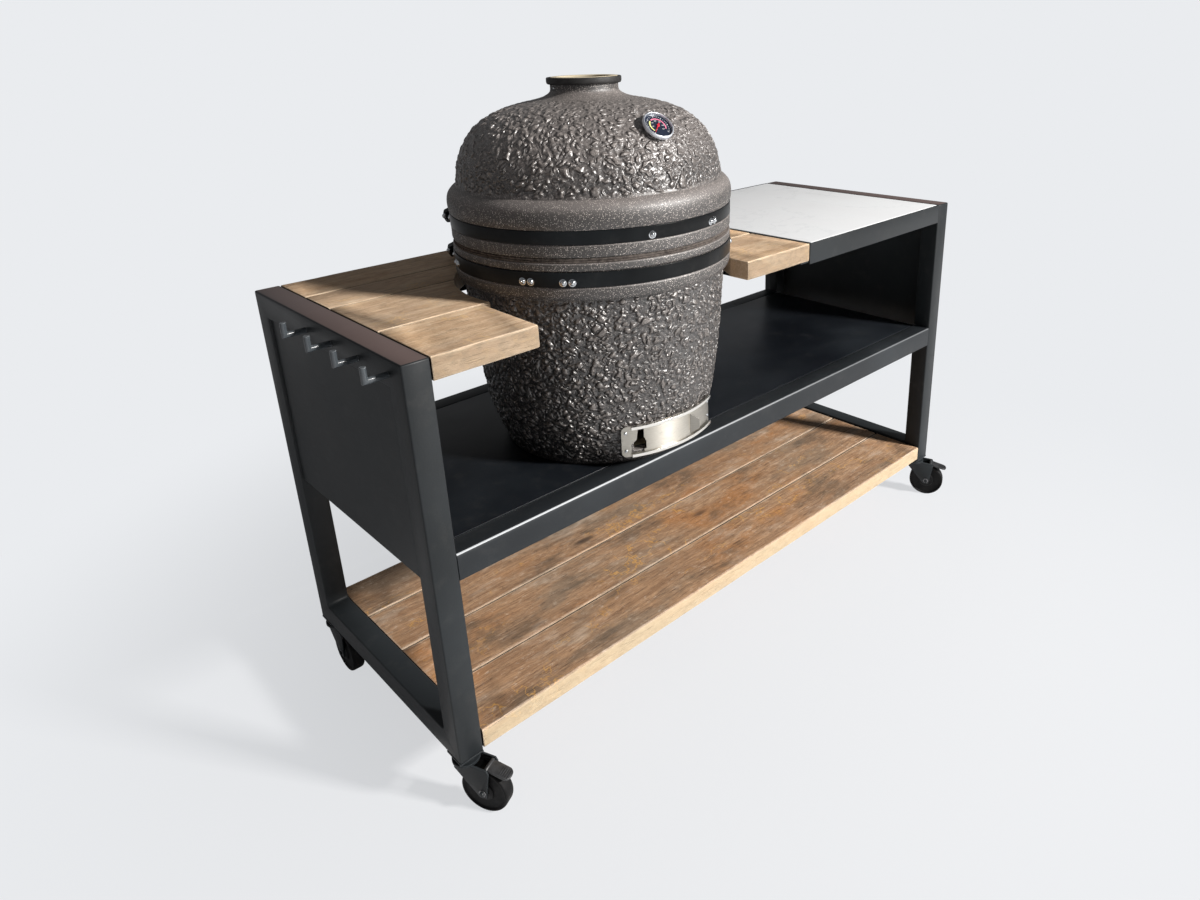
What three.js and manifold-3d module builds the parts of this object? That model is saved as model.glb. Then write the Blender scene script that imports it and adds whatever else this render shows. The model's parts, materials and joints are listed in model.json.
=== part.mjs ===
// Kamado grill table: a steel frame on four casters with a wood and stone worktop, a steel deck for
// the ceramic kamado and a wooden shelf. Millimetres, X along the table, -Y the front, +Z up.

import * as THREE from 'three';
import * as BufferGeometryUtils from 'three/addons/utils/BufferGeometryUtils.js';
import Module from 'manifold-3d';

const wasm = await Module();
wasm.setup();

// Table, overall
const tableLength = 1670;
const tableDepth = 622;
const legHeight = 799;
const casterHeight = 125;
const tube = 50;
const tubeEdge = 3;
const weldFillet = 8;
const weldOverlap = 3;
const fitGap = 0.3;
const cutOverrun = 5;

// Side panels, middle rails and deck
const panelThickness = 3;
const panelRecess = 6;
const midRailHeight = 55;
const deckThickness = 3;
const deckSeam = 1.5;
const deckFlange = 25;
const deckBearerTube = 30;
const deckBearerPlaceShare = 0.5;

// Worktop planks and what carries them
const plankThickness = 42;
const plankSeam = 2;
const plankRound = 3;
const frontPlankWidth = 180;
const secondPlankWidth = 198;
const thirdPlankWidth = 113;
const leftPlankLength = 206;
const rightPlankLength = 218;
const plankBearerWidth = 40;
const plankBearerHeight = 20;
const plankBearerInset = 30;
const bearerFrontInset = 60;
const ledgeWidth = 30;
const ledgeThickness = 4;

// Stone slab and its tray
const stoneThickness = 20;
const stoneSeam = 1.5;
const stoneChamfer = 1.5;
const trayHeight = 50;
const traySheet = 4;
const dividerThickness = 8;

// Shelf
const shelfLedgeThickness = 3;
const shelfLedgeWidth = 40;
const shelfPlankWidths = [152, 166, 159];
const shelfTieWidth = 40;
const shelfTieInset = 12;
const shelfTiePlaceShares = [-1 / 3, 1 / 3];

// Utensil hooks
const hookCount = 4;
const hookSpacing = 107.5;
const hookFirstFromFront = 49;
const hookBelowTop = 31;
const hookReach = 38;
const hookRise = 28;
const hookRadius = 5.5;
const hookBend = 10;

// Caster wheels
const wheelRadius = 50;
const wheelWidth = 28;
const wheelShoulder = 4;
const hubRadius = 20;
const hubStandOut = 1.5;
const axleRadius = 5;
const axleEnd = 5;
const turningClearance = 0.4;
const trail = 40;

// Caster mounts and forks
const casterPlate = 4;
const bearingRadius = 21;
const bearingHeight = 8;
const kingPinRadius = 7;
const kingPinNutRadius = 10;
const kingPinNutHeight = 4;
const crownRadius = 27;
const crownThickness = 5;
const forkSheet = 3;
const forkSideClearance = 0.5;
const forkRootHalf = 16;
const forkShoulder = 16;
const forkFootHalf = 8;
const forkFootDrop = 10;
const frontCasterTurn = -64;
const rearCasterTurn = -90;

// Brake pedals of the front casters
const pedalPivotBehind = 10;
const pedalPivotDrop = 20;
const pedalPin = 2;
const pedalBoss = 4;
const pedalThickness = 4;
const pedalReach = 47;
const pedalDrop = 12;
const pedalToe = 5;

// Kamado, overall
const kamadoFromFront = 226.7;
const ceramicRadius = 289;
const baseHeight = 445;
const lidHeight = 297;
const ceramicWall = 28;
const bodyAtWorktopShare = 0.955;
const kamadoGap = 20;
const leftShoulder = 224.4;
const rightShoulder = 163.6;
const rimAboveWorktop = 82;
const gasketThickness = 9.4;
const gasketWidth = 22;
const gasketInset = 4;

// Bands and bolts
const bandSeat = 2.5;
const bandThickness = 3;
const baseBandWidth = 28;
const baseBandBelowRim = 44.5;
const collarBelowBand = 3;
const collarHeight = 24;
const collarSlope = 9;
const lidBandWidth = 25;
const lidBandAboveRim = 24.5;
const boltRadius = 5.5;
const boltHead = 5;
const boltSides = 8;
const boltHeightShare = 0.35;
const baseBoltAngles = [-156, -152.7, -140.4, -137, -43, -39.6, -27, -23.7, 35, 145];
const lidBoltAngles = [-107, -77.4, -74.4, 35, 145];

// Rear hinge
const rodBehindCeramic = 16;
const rodBelowBand = 16;
const rodRadius = 6;
const rodHead = 4;
const rodHeadRadius = 9;
const eyeRadius = 15.5;
const eyeThickness = 8;
const eyeOffset = 165;
const bracketThickness = 3;
const bracketEdge = 2;
const linkThickness = 8;
const linkRadius = 12;
const linkOffset = 120;
const eyeArcStart = 200;
const eyeArcEnd = 414;
const eyeArcSteps = 12;
const linkArcSteps = 8;

// Draft door and its frame
const draftFrameStandOff = 2.2;
const draftSheet = 1.5;
const draftFrameBottom = 30;
const draftFrameHeight = 67;
const draftFrameAngle = -93.5;
const draftFrameHalfAngle = 28;
const draftWindowAngle = -105;
const draftWindowHalfAngle = 12;
const draftRailHeight = 5;
const draftRailDepth = 5.5;
const draftLip = 1.5;
const draftLipHeight = 3;
const draftDoorClearance = 0.5;
const draftDoorHalfAngle = 13.5;
const draftDoorRest = 7.5;
const draftHoleHalfWidth = 44;
const draftHoleMargin = 4;
const draftBossDepth = 56;
const draftBossInset = 1;
const tabReach = 20;
const tabRootHalf = 22;
const tabTipHalf = 10;
const tabLean = 35;

// Thermometer
const thermometerRadius = 31;
const thermometerDepth = 11;
const thermometerDish = 5;
const thermometerRim = 3.5;
const thermometerRound = 2;
const thermometerAngle = -94.5;
const thermometerPlaceShare = 0.708;
const thermometerTilt = 46;
const thermometerStand = 1.8;
const thermometerCollar = 8;
const stemRadius = 4;
const stemLength = 52;
const stemClearance = 0.8;
const needleLength = 21;
const needleTail = 7;
const needleHalfWidth = 1.3;
const needleTipHalfWidth = 0.6;
const needleHub = 3.2;
const needleThickness = 1;
const needleRest = 135;

// Chimney
const neckRadius = 68;
const flueRadius = 52;
const chimneyRingRadius = 75;
const chimneyRingHeight = 14;
const chimneyRingOverhang = 3;
const chimneyRingRound = 3;
const chimneyRingLip = 4;

// Inside the kamado
const fireBoxHeight = 200;
const fireBoxTopGap = 26.5;
const fireBoxFootGap = 21.5;
const fireBoxWall = 22;
const fireBoxFloor = 18;
const fireBoxFloorRise = 30;
const fireBoxLedge = 12;
const fireBoxSlotWidth = 110;
const fireBoxSlotHeight = 24;
const fireRingHeight = 168;
const fireRingGap = 17;
const fireRingWall = 24;
const fireRingFlareShare = 0.25;
const charcoalGrateClearance = 2;
const charcoalGrateThickness = 10;
const charcoalSlotCount = 10;
const charcoalSlotWidth = 9;
const charcoalSlotInnerShare = 0.22;
const charcoalSlotOuterShare = 0.9;
const cookingGrateInset = 5;
const cookingGrateThickness = 6;
const cookingGrateRim = 8;
const cookingBarPitch = 24;
const cookingBarWidth = 7;

// How finely round things are divided
const shellSides = 40;
const ringSides = 28;
const wheelSides = 24;
const pinSides = 10;
const boreSides = 12;
const hookSides = 8;
const hookSteps = 10;
const plateStep = 5;
const cornerSteps = 2;

const degrees = Math.PI / 180;
const rearAngle = 90;
const halfLength = tableLength / 2;
const halfDepth = tableDepth / 2;
const innerHalfLength = halfLength - tube;
const innerHalfDepth = halfDepth - tube;
const worktopTop = casterHeight + legHeight;
const deckTop = worktopTop + rimAboveWorktop - baseHeight;
const kamadoCutRadius = bodyAtWorktopShare * ceramicRadius + kamadoGap;
const kamadoX = -innerHalfLength + leftShoulder + kamadoCutRadius;
const kamadoY = -halfDepth + kamadoFromFront;

// Materials
function finish(color, roughness, metalness) {
  return new THREE.MeshStandardMaterial({ color, roughness, metalness });
}
const blackCoat = finish(0x33383c, 0.45, 0.4);
const deckCoat = finish(0x22272d, 0.35, 0.4);
const wood = finish(0xb8925f, 0.7, 0);
const shelfWood = finish(0x96693f, 0.7, 0);
const stone = finish(0xdfe4e8, 0.35, 0);
const ceramic = finish(0x4b4440, 0.45, 0);
const rawCeramic = finish(0xcfc3a8, 0.85, 0);
const felt = finish(0x2a2826, 0.95, 0);
const stainless = finish(0xb5b2aa, 0.3, 0.9);
const chrome = finish(0xd0d4d8, 0.15, 1);
const blackRubber = finish(0x18191b, 0.8, 0);
const castIron = finish(0x2b2a29, 0.7, 0.6);
const dialRed = finish(0xc8283c, 0.4, 0);

const table = new THREE.Group();

function add(name, geometry, material, parent = table) {
  const mesh = new THREE.Mesh(geometry, material);
  mesh.name = name;
  parent.add(mesh);
}

// Closed geometry becomes a solid to be joined or cut, and the solid becomes geometry again
function toSolid(geometry) {
  const bare = new THREE.BufferGeometry();
  bare.setAttribute('position', geometry.getAttribute('position'));
  if (geometry.index) bare.setIndex(geometry.index);
  const merged = BufferGeometryUtils.mergeVertices(bare);
  return new wasm.Manifold(new wasm.Mesh({
    numProp: 3,
    vertProperties: new Float32Array(merged.getAttribute('position').array),
    triVerts: new Uint32Array(merged.index.array),
  }));
}

function toGeometry(solid) {
  const mesh = solid.getMesh();
  const geometry = new THREE.BufferGeometry();
  geometry.setAttribute('position', new THREE.BufferAttribute(mesh.vertProperties, 3));
  geometry.setIndex(new THREE.BufferAttribute(mesh.triVerts, 1));
  geometry.computeVertexNormals();
  return geometry;
}

function join(...geometries) {
  return toGeometry(geometries.map(toSolid).reduce((sum, next) => sum.add(next)));
}

function cut(geometry, ...tools) {
  const solid = toSolid(geometry);
  return toGeometry(tools.map(toSolid).reduce((rest, tool) => rest.subtract(tool), solid));
}

function block(x0, x1, y0, y1, z0, z1) {
  const box = new THREE.BoxGeometry(x1 - x0, y1 - y0, z1 - z0);
  return box.translate((x0 + x1) / 2, (y0 + y1) / 2, (z0 + z1) / 2);
}

function outline(points) {
  return new THREE.Shape(points.map(([x, y]) => new THREE.Vector2(x, y)));
}

// Points on an arc about (x, y), between two angles in degrees
function arc(x, y, radius, from, to, steps) {
  return Array.from({ length: steps + 1 }, (_, i) => {
    const angle = (from + (to - from) * i / steps) * degrees;
    return [x + radius * Math.cos(angle), y + radius * Math.sin(angle)];
  });
}

function roundedRectangle(x0, x1, y0, y1, radius) {
  return [
    ...arc(x1 - radius, y1 - radius, radius, 0, 90, cornerSteps),
    ...arc(x0 + radius, y1 - radius, radius, 90, 180, cornerSteps),
    ...arc(x0 + radius, y0 + radius, radius, 180, 270, cornerSteps),
    ...arc(x1 - radius, y0 + radius, radius, 270, 360, cornerSteps),
  ];
}

function pull(points, depth, lift = 0) {
  const body = new THREE.ExtrudeGeometry(outline(points), { depth, bevelEnabled: false });
  return body.translate(0, 0, lift);
}

// Points drawn in (Y, Z), pulled along X from x0 to x1
function pullAlongX(points, x0, x1) {
  return pull(points, x1 - x0).rotateY(Math.PI / 2).rotateX(Math.PI / 2).translate(x0, 0, 0);
}

// Points drawn in (X, Z), pulled along Y from y0 to y1
function pullAlongY(points, y0, y1) {
  return pull(points, y1 - y0).rotateX(Math.PI / 2).translate(0, y1, 0);
}

function barAlongX(x0, x1, y0, y1, z0, z1, radius) {
  return pullAlongX(roundedRectangle(y0, y1, z0, z1, radius), x0, x1);
}

// A round rod between two points
function rod(from, to, radius, sides = pinSides) {
  const start = new THREE.Vector3(...from);
  const end = new THREE.Vector3(...to);
  const direction = end.clone().sub(start).normalize();
  const turn = new THREE.Quaternion().setFromUnitVectors(new THREE.Vector3(0, 1, 0), direction);
  const body = new THREE.CylinderGeometry(radius, radius, start.distanceTo(end), sides);
  const middle = start.add(end).multiplyScalar(0.5);
  return body.applyQuaternion(turn).translate(middle.x, middle.y, middle.z);
}

// A profile of [radius, height] turned about Z; one that doesn't end on the axis is closed
function turned(profile, sides = shellSides) {
  const points = profile.map(([radius, height]) => new THREE.Vector2(radius, height));
  if (profile[0][0] > 0) points.push(points[0].clone());
  return new THREE.LatheGeometry(points, sides).rotateX(Math.PI / 2);
}

// A curved plate about Z between two radii, two angles in degrees and two heights
function curvedPlate(inner, outer, from, to, bottom, top) {
  const steps = Math.max(2, Math.ceil((to - from) / plateStep));
  const points = [...arc(0, 0, outer, from, to, steps), ...arc(0, 0, inner, to, from, steps)];
  return pull(points, top - bottom, bottom);
}

// End frames: legs and rails in one ring, with ledges for the worktop and the shelf inside
const plankBottom = worktopTop - plankThickness;
const stoneBottom = worktopTop - stoneThickness;

function endFrame(side, worktopBottom) {
  const ring = outline(roundedRectangle(-halfDepth, halfDepth, 0, legHeight, tubeEdge));
  ring.holes.push(outline([
    [-innerHalfDepth, legHeight - tube],
    ...arc(-innerHalfDepth + weldFillet, tube + weldFillet, weldFillet, 180, 270, cornerSteps),
    ...arc(innerHalfDepth - weldFillet, tube + weldFillet, weldFillet, 270, 360, cornerSteps),
    [innerHalfDepth, legHeight - tube],
  ]));
  const body = new THREE.ExtrudeGeometry(ring, {
    depth: tube - 2 * tubeEdge, bevelEnabled: true, bevelThickness: tubeEdge,
    bevelSize: tubeEdge, bevelOffset: -tubeEdge, bevelSegments: cornerSteps,
  });
  body.rotateY(Math.PI / 2).rotateX(Math.PI / 2);
  body.translate(innerHalfLength + tubeEdge, 0, casterHeight);
  const frame = join(
    body,
    block(innerHalfLength - shelfLedgeWidth, innerHalfLength + weldOverlap,
      -innerHalfDepth, innerHalfDepth, casterHeight, casterHeight + shelfLedgeThickness),
    block(innerHalfLength - ledgeWidth, innerHalfLength + weldOverlap,
      -innerHalfDepth, innerHalfDepth, worktopBottom - ledgeThickness, worktopBottom),
  );
  return side < 0 ? frame.rotateZ(Math.PI) : frame;
}
add('left_end_frame', endFrame(-1, plankBottom), blackCoat);
add('right_end_frame', endFrame(1, stoneBottom), blackCoat);

// Side panels, set back from the outer face of the end frames
const railBottom = deckTop - midRailHeight;
for (const [name, side] of [['left_side_panel', -1], ['right_side_panel', 1]]) {
  const x = side * (halfLength - panelRecess - panelThickness / 2);
  add(name, block(
    x - panelThickness / 2, x + panelThickness / 2, -innerHalfDepth, innerHalfDepth,
    railBottom, worktopTop - tube), blackCoat);
}

// Middle rails, and the folded deck sheet between them
for (const [name, y0, y1] of [
  ['front_middle_rail', -halfDepth, -innerHalfDepth], ['rear_middle_rail', innerHalfDepth, halfDepth],
]) {
  add(name, barAlongX(-innerHalfLength, innerHalfLength, y0, y1, railBottom, deckTop, tubeEdge), blackCoat);
}
const deckHalfWidth = innerHalfDepth - deckSeam;
const deckInnerHalf = deckHalfWidth - deckThickness;
const deckUnderside = deckTop - deckThickness;
const flangeBottom = deckTop - deckFlange;
add('deck_plate', pullAlongX([
  [-deckHalfWidth, deckTop], [-deckHalfWidth, flangeBottom], [-deckInnerHalf, flangeBottom],
  [-deckInnerHalf, deckUnderside], [deckInnerHalf, deckUnderside], [deckInnerHalf, flangeBottom],
  [deckHalfWidth, flangeBottom], [deckHalfWidth, deckTop],
], -innerHalfLength + deckSeam, innerHalfLength - deckSeam), deckCoat);

// Two bearers under the kamado, from rail to rail, stepped down below the flanges of the deck
for (const [name, side] of [['deck_bearer_left', -1], ['deck_bearer_right', 1]]) {
  const x = kamadoX + side * deckBearerPlaceShare * ceramicRadius;
  const bottom = deckUnderside - deckBearerTube;
  const step = flangeBottom - fitGap;
  const inner = deckInnerHalf - fitGap;
  add(name, pullAlongX([
    [-innerHalfDepth, step], [-innerHalfDepth, bottom], [innerHalfDepth, bottom],
    [innerHalfDepth, step], [inner, step], [inner, deckUnderside], [-inner, deckUnderside],
    [-inner, step],
  ], x - deckBearerTube / 2, x + deckBearerTube / 2), blackCoat);
}

// Places along the worktop: planks, divider, tray, and the stone in the rest of the length
const dividerLeft = kamadoX + kamadoCutRadius + rightShoulder;
const trayLeft = dividerLeft + dividerThickness;
const stoneLeft = trayLeft + stoneSeam;
const stoneLength = innerHalfLength - stoneSeam - stoneLeft;
const rightPlankEnd = dividerLeft - plankSeam;
const rightPlankStart = rightPlankEnd - rightPlankLength;
const leftPlankStart = -innerHalfLength + plankSeam;
const leftPlankEnd = leftPlankStart + leftPlankLength;

// Worktop frame: the rear top rail with a bearer under the planks on each side of the kamado
function plankBearer(x) {
  return block(
    x - plankBearerWidth / 2, x + plankBearerWidth / 2, -halfDepth + bearerFrontInset,
    innerHalfDepth + weldOverlap, plankBottom - plankBearerHeight, plankBottom);
}
add('worktop_frame', join(
  barAlongX(-innerHalfLength, innerHalfLength, innerHalfDepth, halfDepth,
    plankBottom - tube, plankBottom, tubeEdge),
  plankBearer(leftPlankEnd - plankBearerInset),
  plankBearer(kamadoX + kamadoCutRadius + plankBearerWidth / 2),
), blackCoat);

// Tray for the stone: front apron, divider and rear lip, with ledges for the slab and the planks
const stoneLedgeBottom = stoneBottom - ledgeThickness;
const plankLedgeBottom = plankBottom - ledgeThickness;
add('stone_tray', join(
  block(dividerLeft, innerHalfLength, -halfDepth, -halfDepth + traySheet,
    worktopTop - trayHeight, worktopTop),
  block(dividerLeft, innerHalfLength, halfDepth - traySheet, halfDepth, plankBottom, worktopTop),
  block(dividerLeft, trayLeft, -halfDepth, halfDepth, plankBottom, worktopTop),
  block(dividerLeft, innerHalfLength, -halfDepth, -halfDepth + ledgeWidth,
    stoneLedgeBottom, stoneBottom),
  block(dividerLeft, innerHalfLength, halfDepth - ledgeWidth, halfDepth,
    stoneLedgeBottom, stoneBottom),
  block(dividerLeft, trayLeft + ledgeWidth, -halfDepth, halfDepth, stoneLedgeBottom, stoneBottom),
  block(dividerLeft - ledgeWidth, trayLeft, -halfDepth + traySheet, innerHalfDepth,
    plankLedgeBottom, plankBottom),
), blackCoat);

// Stone slab, chamfered all round, inside the tray
const stoneInset = traySheet + stoneSeam + stoneChamfer;
const slab = new THREE.ExtrudeGeometry(outline([
  [stoneLeft + stoneChamfer, -halfDepth + stoneInset],
  [stoneLeft + stoneLength - stoneChamfer, -halfDepth + stoneInset],
  [stoneLeft + stoneLength - stoneChamfer, halfDepth - stoneInset],
  [stoneLeft + stoneChamfer, halfDepth - stoneInset],
]), {
  depth: stoneThickness - 2 * stoneChamfer, bevelEnabled: true, bevelThickness: stoneChamfer,
  bevelSize: stoneChamfer, bevelSegments: 1,
});
add('stone_slab', slab.translate(0, 0, stoneBottom + stoneChamfer), stone);

// Worktop planks with rounded long edges, cut to a circle round the kamado
const kamadoCut = rod(
  [kamadoX, kamadoY, plankBottom - cutOverrun], [kamadoX, kamadoY, worktopTop + cutOverrun],
  kamadoCutRadius, 2 * shellSides);
const plankEdges = [frontPlankWidth, secondPlankWidth, thirdPlankWidth].reduce(
  (edges, width) => [...edges, edges[edges.length - 1] + width], [-halfDepth]);
plankEdges.push(halfDepth);

function worktopPlank(x0, x1, row) {
  const last = plankEdges.length - 2;
  const front = plankEdges[row] + (row > 0 ? plankSeam / 2 : 0);
  const rear = plankEdges[row + 1] - (row < last ? plankSeam / 2 : 0);
  return cut(barAlongX(x0, x1, front, rear, plankBottom, worktopTop, plankRound), kamadoCut);
}
add('left_front_plank', worktopPlank(leftPlankStart, leftPlankEnd, 0), wood);
add('left_second_plank', worktopPlank(leftPlankStart, kamadoX, 1), wood);
add('left_third_plank', worktopPlank(leftPlankStart, kamadoX, 2), wood);
add('right_front_plank', worktopPlank(rightPlankStart, rightPlankEnd, 0), wood);
add('right_second_plank', worktopPlank(kamadoX, rightPlankEnd, 1), wood);
add('right_third_plank', worktopPlank(kamadoX, rightPlankEnd, 2), wood);
add('rear_plank', worktopPlank(leftPlankStart, rightPlankEnd, 3), wood);

// Shelf planks on the ledges of the end frames, with two tie bars screwed under them
const shelfBottom = casterHeight + shelfLedgeThickness;
const shelfEdges = shelfPlankWidths.reduce(
  (edges, width) => [...edges, edges[edges.length - 1] + width], [-halfDepth]);
shelfEdges.push(halfDepth);
['shelf_front_plank', 'shelf_second_plank', 'shelf_third_plank', 'shelf_rear_plank'].forEach((name, i) => {
  const front = shelfEdges[i] + (i > 0 ? plankSeam / 2 : 0);
  const rear = shelfEdges[i + 1] - (i < shelfPlankWidths.length ? plankSeam / 2 : 0);
  add(name, barAlongX(-innerHalfLength + plankSeam, innerHalfLength - plankSeam, front, rear,
    shelfBottom, shelfBottom + plankThickness, plankRound), shelfWood);
});
shelfTiePlaceShares.forEach((share, i) => {
  const x = share * innerHalfLength;
  add(`shelf_tie_bar_${i + 1}`, block(
    x - shelfTieWidth / 2, x + shelfTieWidth / 2, -halfDepth + shelfTieInset,
    halfDepth - shelfTieInset, casterHeight, shelfBottom), blackCoat);
});

// Utensil hooks: a round bar out of the left top rail, bent up at its end
function utensilHook() {
  const corner = new THREE.Vector3(-halfLength - hookReach, 0, 0);
  const bendStart = corner.clone().setX(corner.x + hookBend);
  const bendEnd = corner.clone().setZ(hookBend);
  const path = new THREE.CurvePath();
  path.add(new THREE.LineCurve3(new THREE.Vector3(-halfLength, 0, 0), bendStart));
  path.add(new THREE.QuadraticBezierCurve3(bendStart, corner, bendEnd));
  path.add(new THREE.LineCurve3(bendEnd, corner.clone().setZ(hookRise)));
  const section = arc(0, 0, hookRadius, 0, 360, hookSides).slice(1);
  return new THREE.ExtrudeGeometry(outline(section), { steps: hookSteps, extrudePath: path });
}
for (let i = 0; i < hookCount; i += 1) {
  const y = -halfDepth + hookFirstFromFront + i * hookSpacing;
  add(`utensil_hook_${i + 1}`, utensilHook().translate(0, y, worktopTop - hookBelowTop), blackCoat);
}

// Casters: a mount with bearing and king pin, a fork with axle, a wheel, and a pedal in front
const bearingBottom = casterHeight - casterPlate - bearingHeight;
const crownTop = bearingBottom - fitGap;
const crownBottom = crownTop - crownThickness;
const forkInner = wheelWidth / 2 + hubStandOut + forkSideClearance;
const forkOuter = forkInner + forkSheet;
const pedalPivotX = trail + pedalPivotBehind;
const pedalPivotZ = casterHeight - pedalPivotDrop;

function casterMount() {
  const nutTop = crownBottom - fitGap;
  return join(
    block(-tube / 2, tube / 2, -tube / 2, tube / 2, casterHeight - casterPlate, casterHeight),
    rod([0, 0, bearingBottom], [0, 0, casterHeight - casterPlate / 2], bearingRadius, wheelSides),
    rod([0, 0, nutTop - kingPinNutHeight], [0, 0, casterHeight - casterPlate / 2], kingPinRadius),
    rod([0, 0, nutTop - kingPinNutHeight], [0, 0, nutTop], kingPinNutRadius),
  );
}

function casterFork() {
  const side = [
    [-forkRootHalf, crownTop], [-forkRootHalf, crownTop - forkShoulder],
    [trail - forkFootHalf, wheelRadius - forkFootDrop],
    [trail + forkFootHalf, wheelRadius - forkFootDrop],
    [pedalPivotX + forkFootHalf, pedalPivotZ - pedalBoss],
    [pedalPivotX + pedalBoss, pedalPivotZ + pedalBoss], [forkRootHalf, crownTop],
  ];
  const parts = join(
    rod([0, 0, crownBottom], [0, 0, crownTop], crownRadius, wheelSides),
    block(-forkRootHalf, forkRootHalf, -forkOuter, forkOuter, crownBottom, crownTop),
    pullAlongY(side, -forkOuter, -forkInner), pullAlongY(side, forkInner, forkOuter),
    rod([trail, -forkOuter - axleEnd, wheelRadius], [trail, forkOuter + axleEnd, wheelRadius], axleRadius),
    rod([pedalPivotX, -forkOuter, pedalPivotZ], [pedalPivotX, forkOuter, pedalPivotZ], pedalPin),
  );
  return cut(parts, rod(
    [0, 0, crownBottom - cutOverrun], [0, 0, crownTop + cutOverrun],
    kingPinRadius + turningClearance, boreSides));
}

function casterWheel() {
  const half = wheelWidth / 2;
  const bore = axleRadius + turningClearance;
  const tread = half - wheelShoulder;
  const wheel = turned([
    [bore, -half - hubStandOut], [hubRadius, -half - hubStandOut], [hubRadius, -half],
    [wheelRadius - wheelShoulder, -half], [wheelRadius, -tread], [wheelRadius, tread],
    [wheelRadius - wheelShoulder, half], [hubRadius, half],
    [hubRadius, half + hubStandOut], [bore, half + hubStandOut],
  ], wheelSides);
  return wheel.rotateX(Math.PI / 2).translate(trail, 0, wheelRadius);
}

function brakePedal() {
  const half = pedalThickness / 2;
  const tipX = pedalPivotX + pedalReach;
  const tipZ = pedalPivotZ - pedalDrop;
  const side = forkInner - fitGap;
  const lever = pullAlongY([
    [pedalPivotX, pedalPivotZ + half], [pedalPivotX, pedalPivotZ - half], [tipX, tipZ - half],
    [tipX + half, tipZ + pedalToe], [tipX - pedalThickness, tipZ + pedalToe],
    [tipX - 2 * pedalThickness, tipZ + 2 * half],
  ], -side, side);
  const boss = rod([pedalPivotX, -side, pedalPivotZ], [pedalPivotX, side, pedalPivotZ], pedalBoss);
  const bore = rod(
    [pedalPivotX, -forkOuter, pedalPivotZ], [pedalPivotX, forkOuter, pedalPivotZ],
    pedalPin + turningClearance, boreSides);
  return cut(join(lever, boss), bore);
}

for (const [place, sideX, sideY, turn] of [
  ['front_left', -1, -1, frontCasterTurn], ['front_right', 1, -1, frontCasterTurn],
  ['rear_left', -1, 1, rearCasterTurn], ['rear_right', 1, 1, rearCasterTurn],
]) {
  const corner = new THREE.Group();
  corner.position.set(sideX * (halfLength - tube / 2), sideY * (halfDepth - tube / 2), 0);
  table.add(corner);
  add(`caster_mount_${place}`, casterMount(), blackCoat, corner);
  const swivel = new THREE.Group();
  swivel.rotation.z = turn * degrees;
  corner.add(swivel);
  add(`caster_fork_${place}`, casterFork(), blackCoat, swivel);
  add(`caster_wheel_${place}`, casterWheel(), blackRubber, swivel);
  if (sideY < 0) add(`brake_pedal_${place}`, brakePedal(), castIron, swivel);
}

// Kamado, on its own axis on the deck
const kamado = new THREE.Group();
kamado.position.set(kamadoX, kamadoY, deckTop);
table.add(kamado);

function scaled(shares, radius, height, lift = 0) {
  return shares.map(([radiusShare, heightShare]) => [radiusShare * radius, lift + heightShare * height]);
}

// Radius of an outline at a height
function radiusAt(points, height) {
  const above = points.findIndex(([, z]) => z > height);
  const [[radiusBelow, heightBelow], [radiusAbove, heightAbove]] = points.slice(above - 1, above + 1);
  return THREE.MathUtils.mapLinear(height, heightBelow, heightAbove, radiusBelow, radiusAbove);
}
const bandSeatRadius = ceramicRadius - bandSeat;
const ceramicInner = ceramicRadius - ceramicWall;

// Ceramic base: body and collar, band seat and rim, the cavity, a boss and a hole for the draft
const baseOutlineShares = [
  [0, 0], [0.747, 0], [0.768, 0.03], [0.818, 0.115], [0.856, 0.2], [0.88, 0.29], [0.902, 0.4],
  [0.924, 0.53], [0.938, 0.65], [0.949, 0.775],
];
const collarFootShares = [0.953, 0.983];
const baseCavityShares = [
  [0, 0.067], [0.69, 0.067], [0.72, 0.1], [0.775, 0.2], [0.82, 0.4], [0.865, 0.67], [0.886, 0.85],
];
const baseBandBottom = baseHeight - baseBandBelowRim;
const collarTop = baseBandBottom - collarBelowBand;
const collarFoot = collarTop - collarHeight;
const baseOutline = scaled(baseOutlineShares, ceramicRadius, baseHeight);
const baseOutside = turned([
  ...baseOutline, [collarFootShares[0] * ceramicRadius, collarFoot - collarBelowBand],
  [collarFootShares[1] * ceramicRadius, collarFoot], [ceramicRadius, collarFoot + collarSlope],
  [ceramicRadius, collarTop], [bandSeatRadius, baseBandBottom - fitGap],
  [bandSeatRadius, baseBandBottom + baseBandWidth + fitGap],
  [ceramicRadius, baseBandBottom + baseBandWidth + bandSeat], [ceramicRadius, baseHeight],
  [0, baseHeight],
]);
const cavityOutline = scaled(baseCavityShares, ceramicRadius, baseHeight);
const baseCavity = turned([
  ...cavityOutline, [ceramicInner, baseHeight],
  [ceramicInner, baseHeight + cutOverrun], [0, baseHeight + cutOverrun],
]);
const draftFrameTop = draftFrameBottom + draftFrameHeight;
const draftFrameRadius = radiusAt(baseOutline, draftFrameTop) + draftFrameStandOff;
const draftBossHalfAngle = draftFrameHalfAngle - draftBossInset;
const draftBoss = curvedPlate(
  draftFrameRadius - draftBossDepth, draftFrameRadius - fitGap, draftFrameAngle - draftBossHalfAngle,
  draftFrameAngle + draftBossHalfAngle, draftFrameBottom + draftBossInset, draftFrameTop - draftBossInset);
const windowBottom = draftFrameBottom + draftRailHeight + draftLipHeight;
const windowTop = draftFrameTop - draftRailHeight - draftLipHeight;
const draftHole = block(
  ceramicRadius / 2, ceramicRadius, -draftHoleHalfWidth, draftHoleHalfWidth,
  windowBottom + draftHoleMargin, windowTop - draftHoleMargin).rotateZ(draftWindowAngle * degrees);
add('base_shell', cut(join(baseOutside, draftBoss), baseCavity, draftHole), ceramic, kamado);

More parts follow.
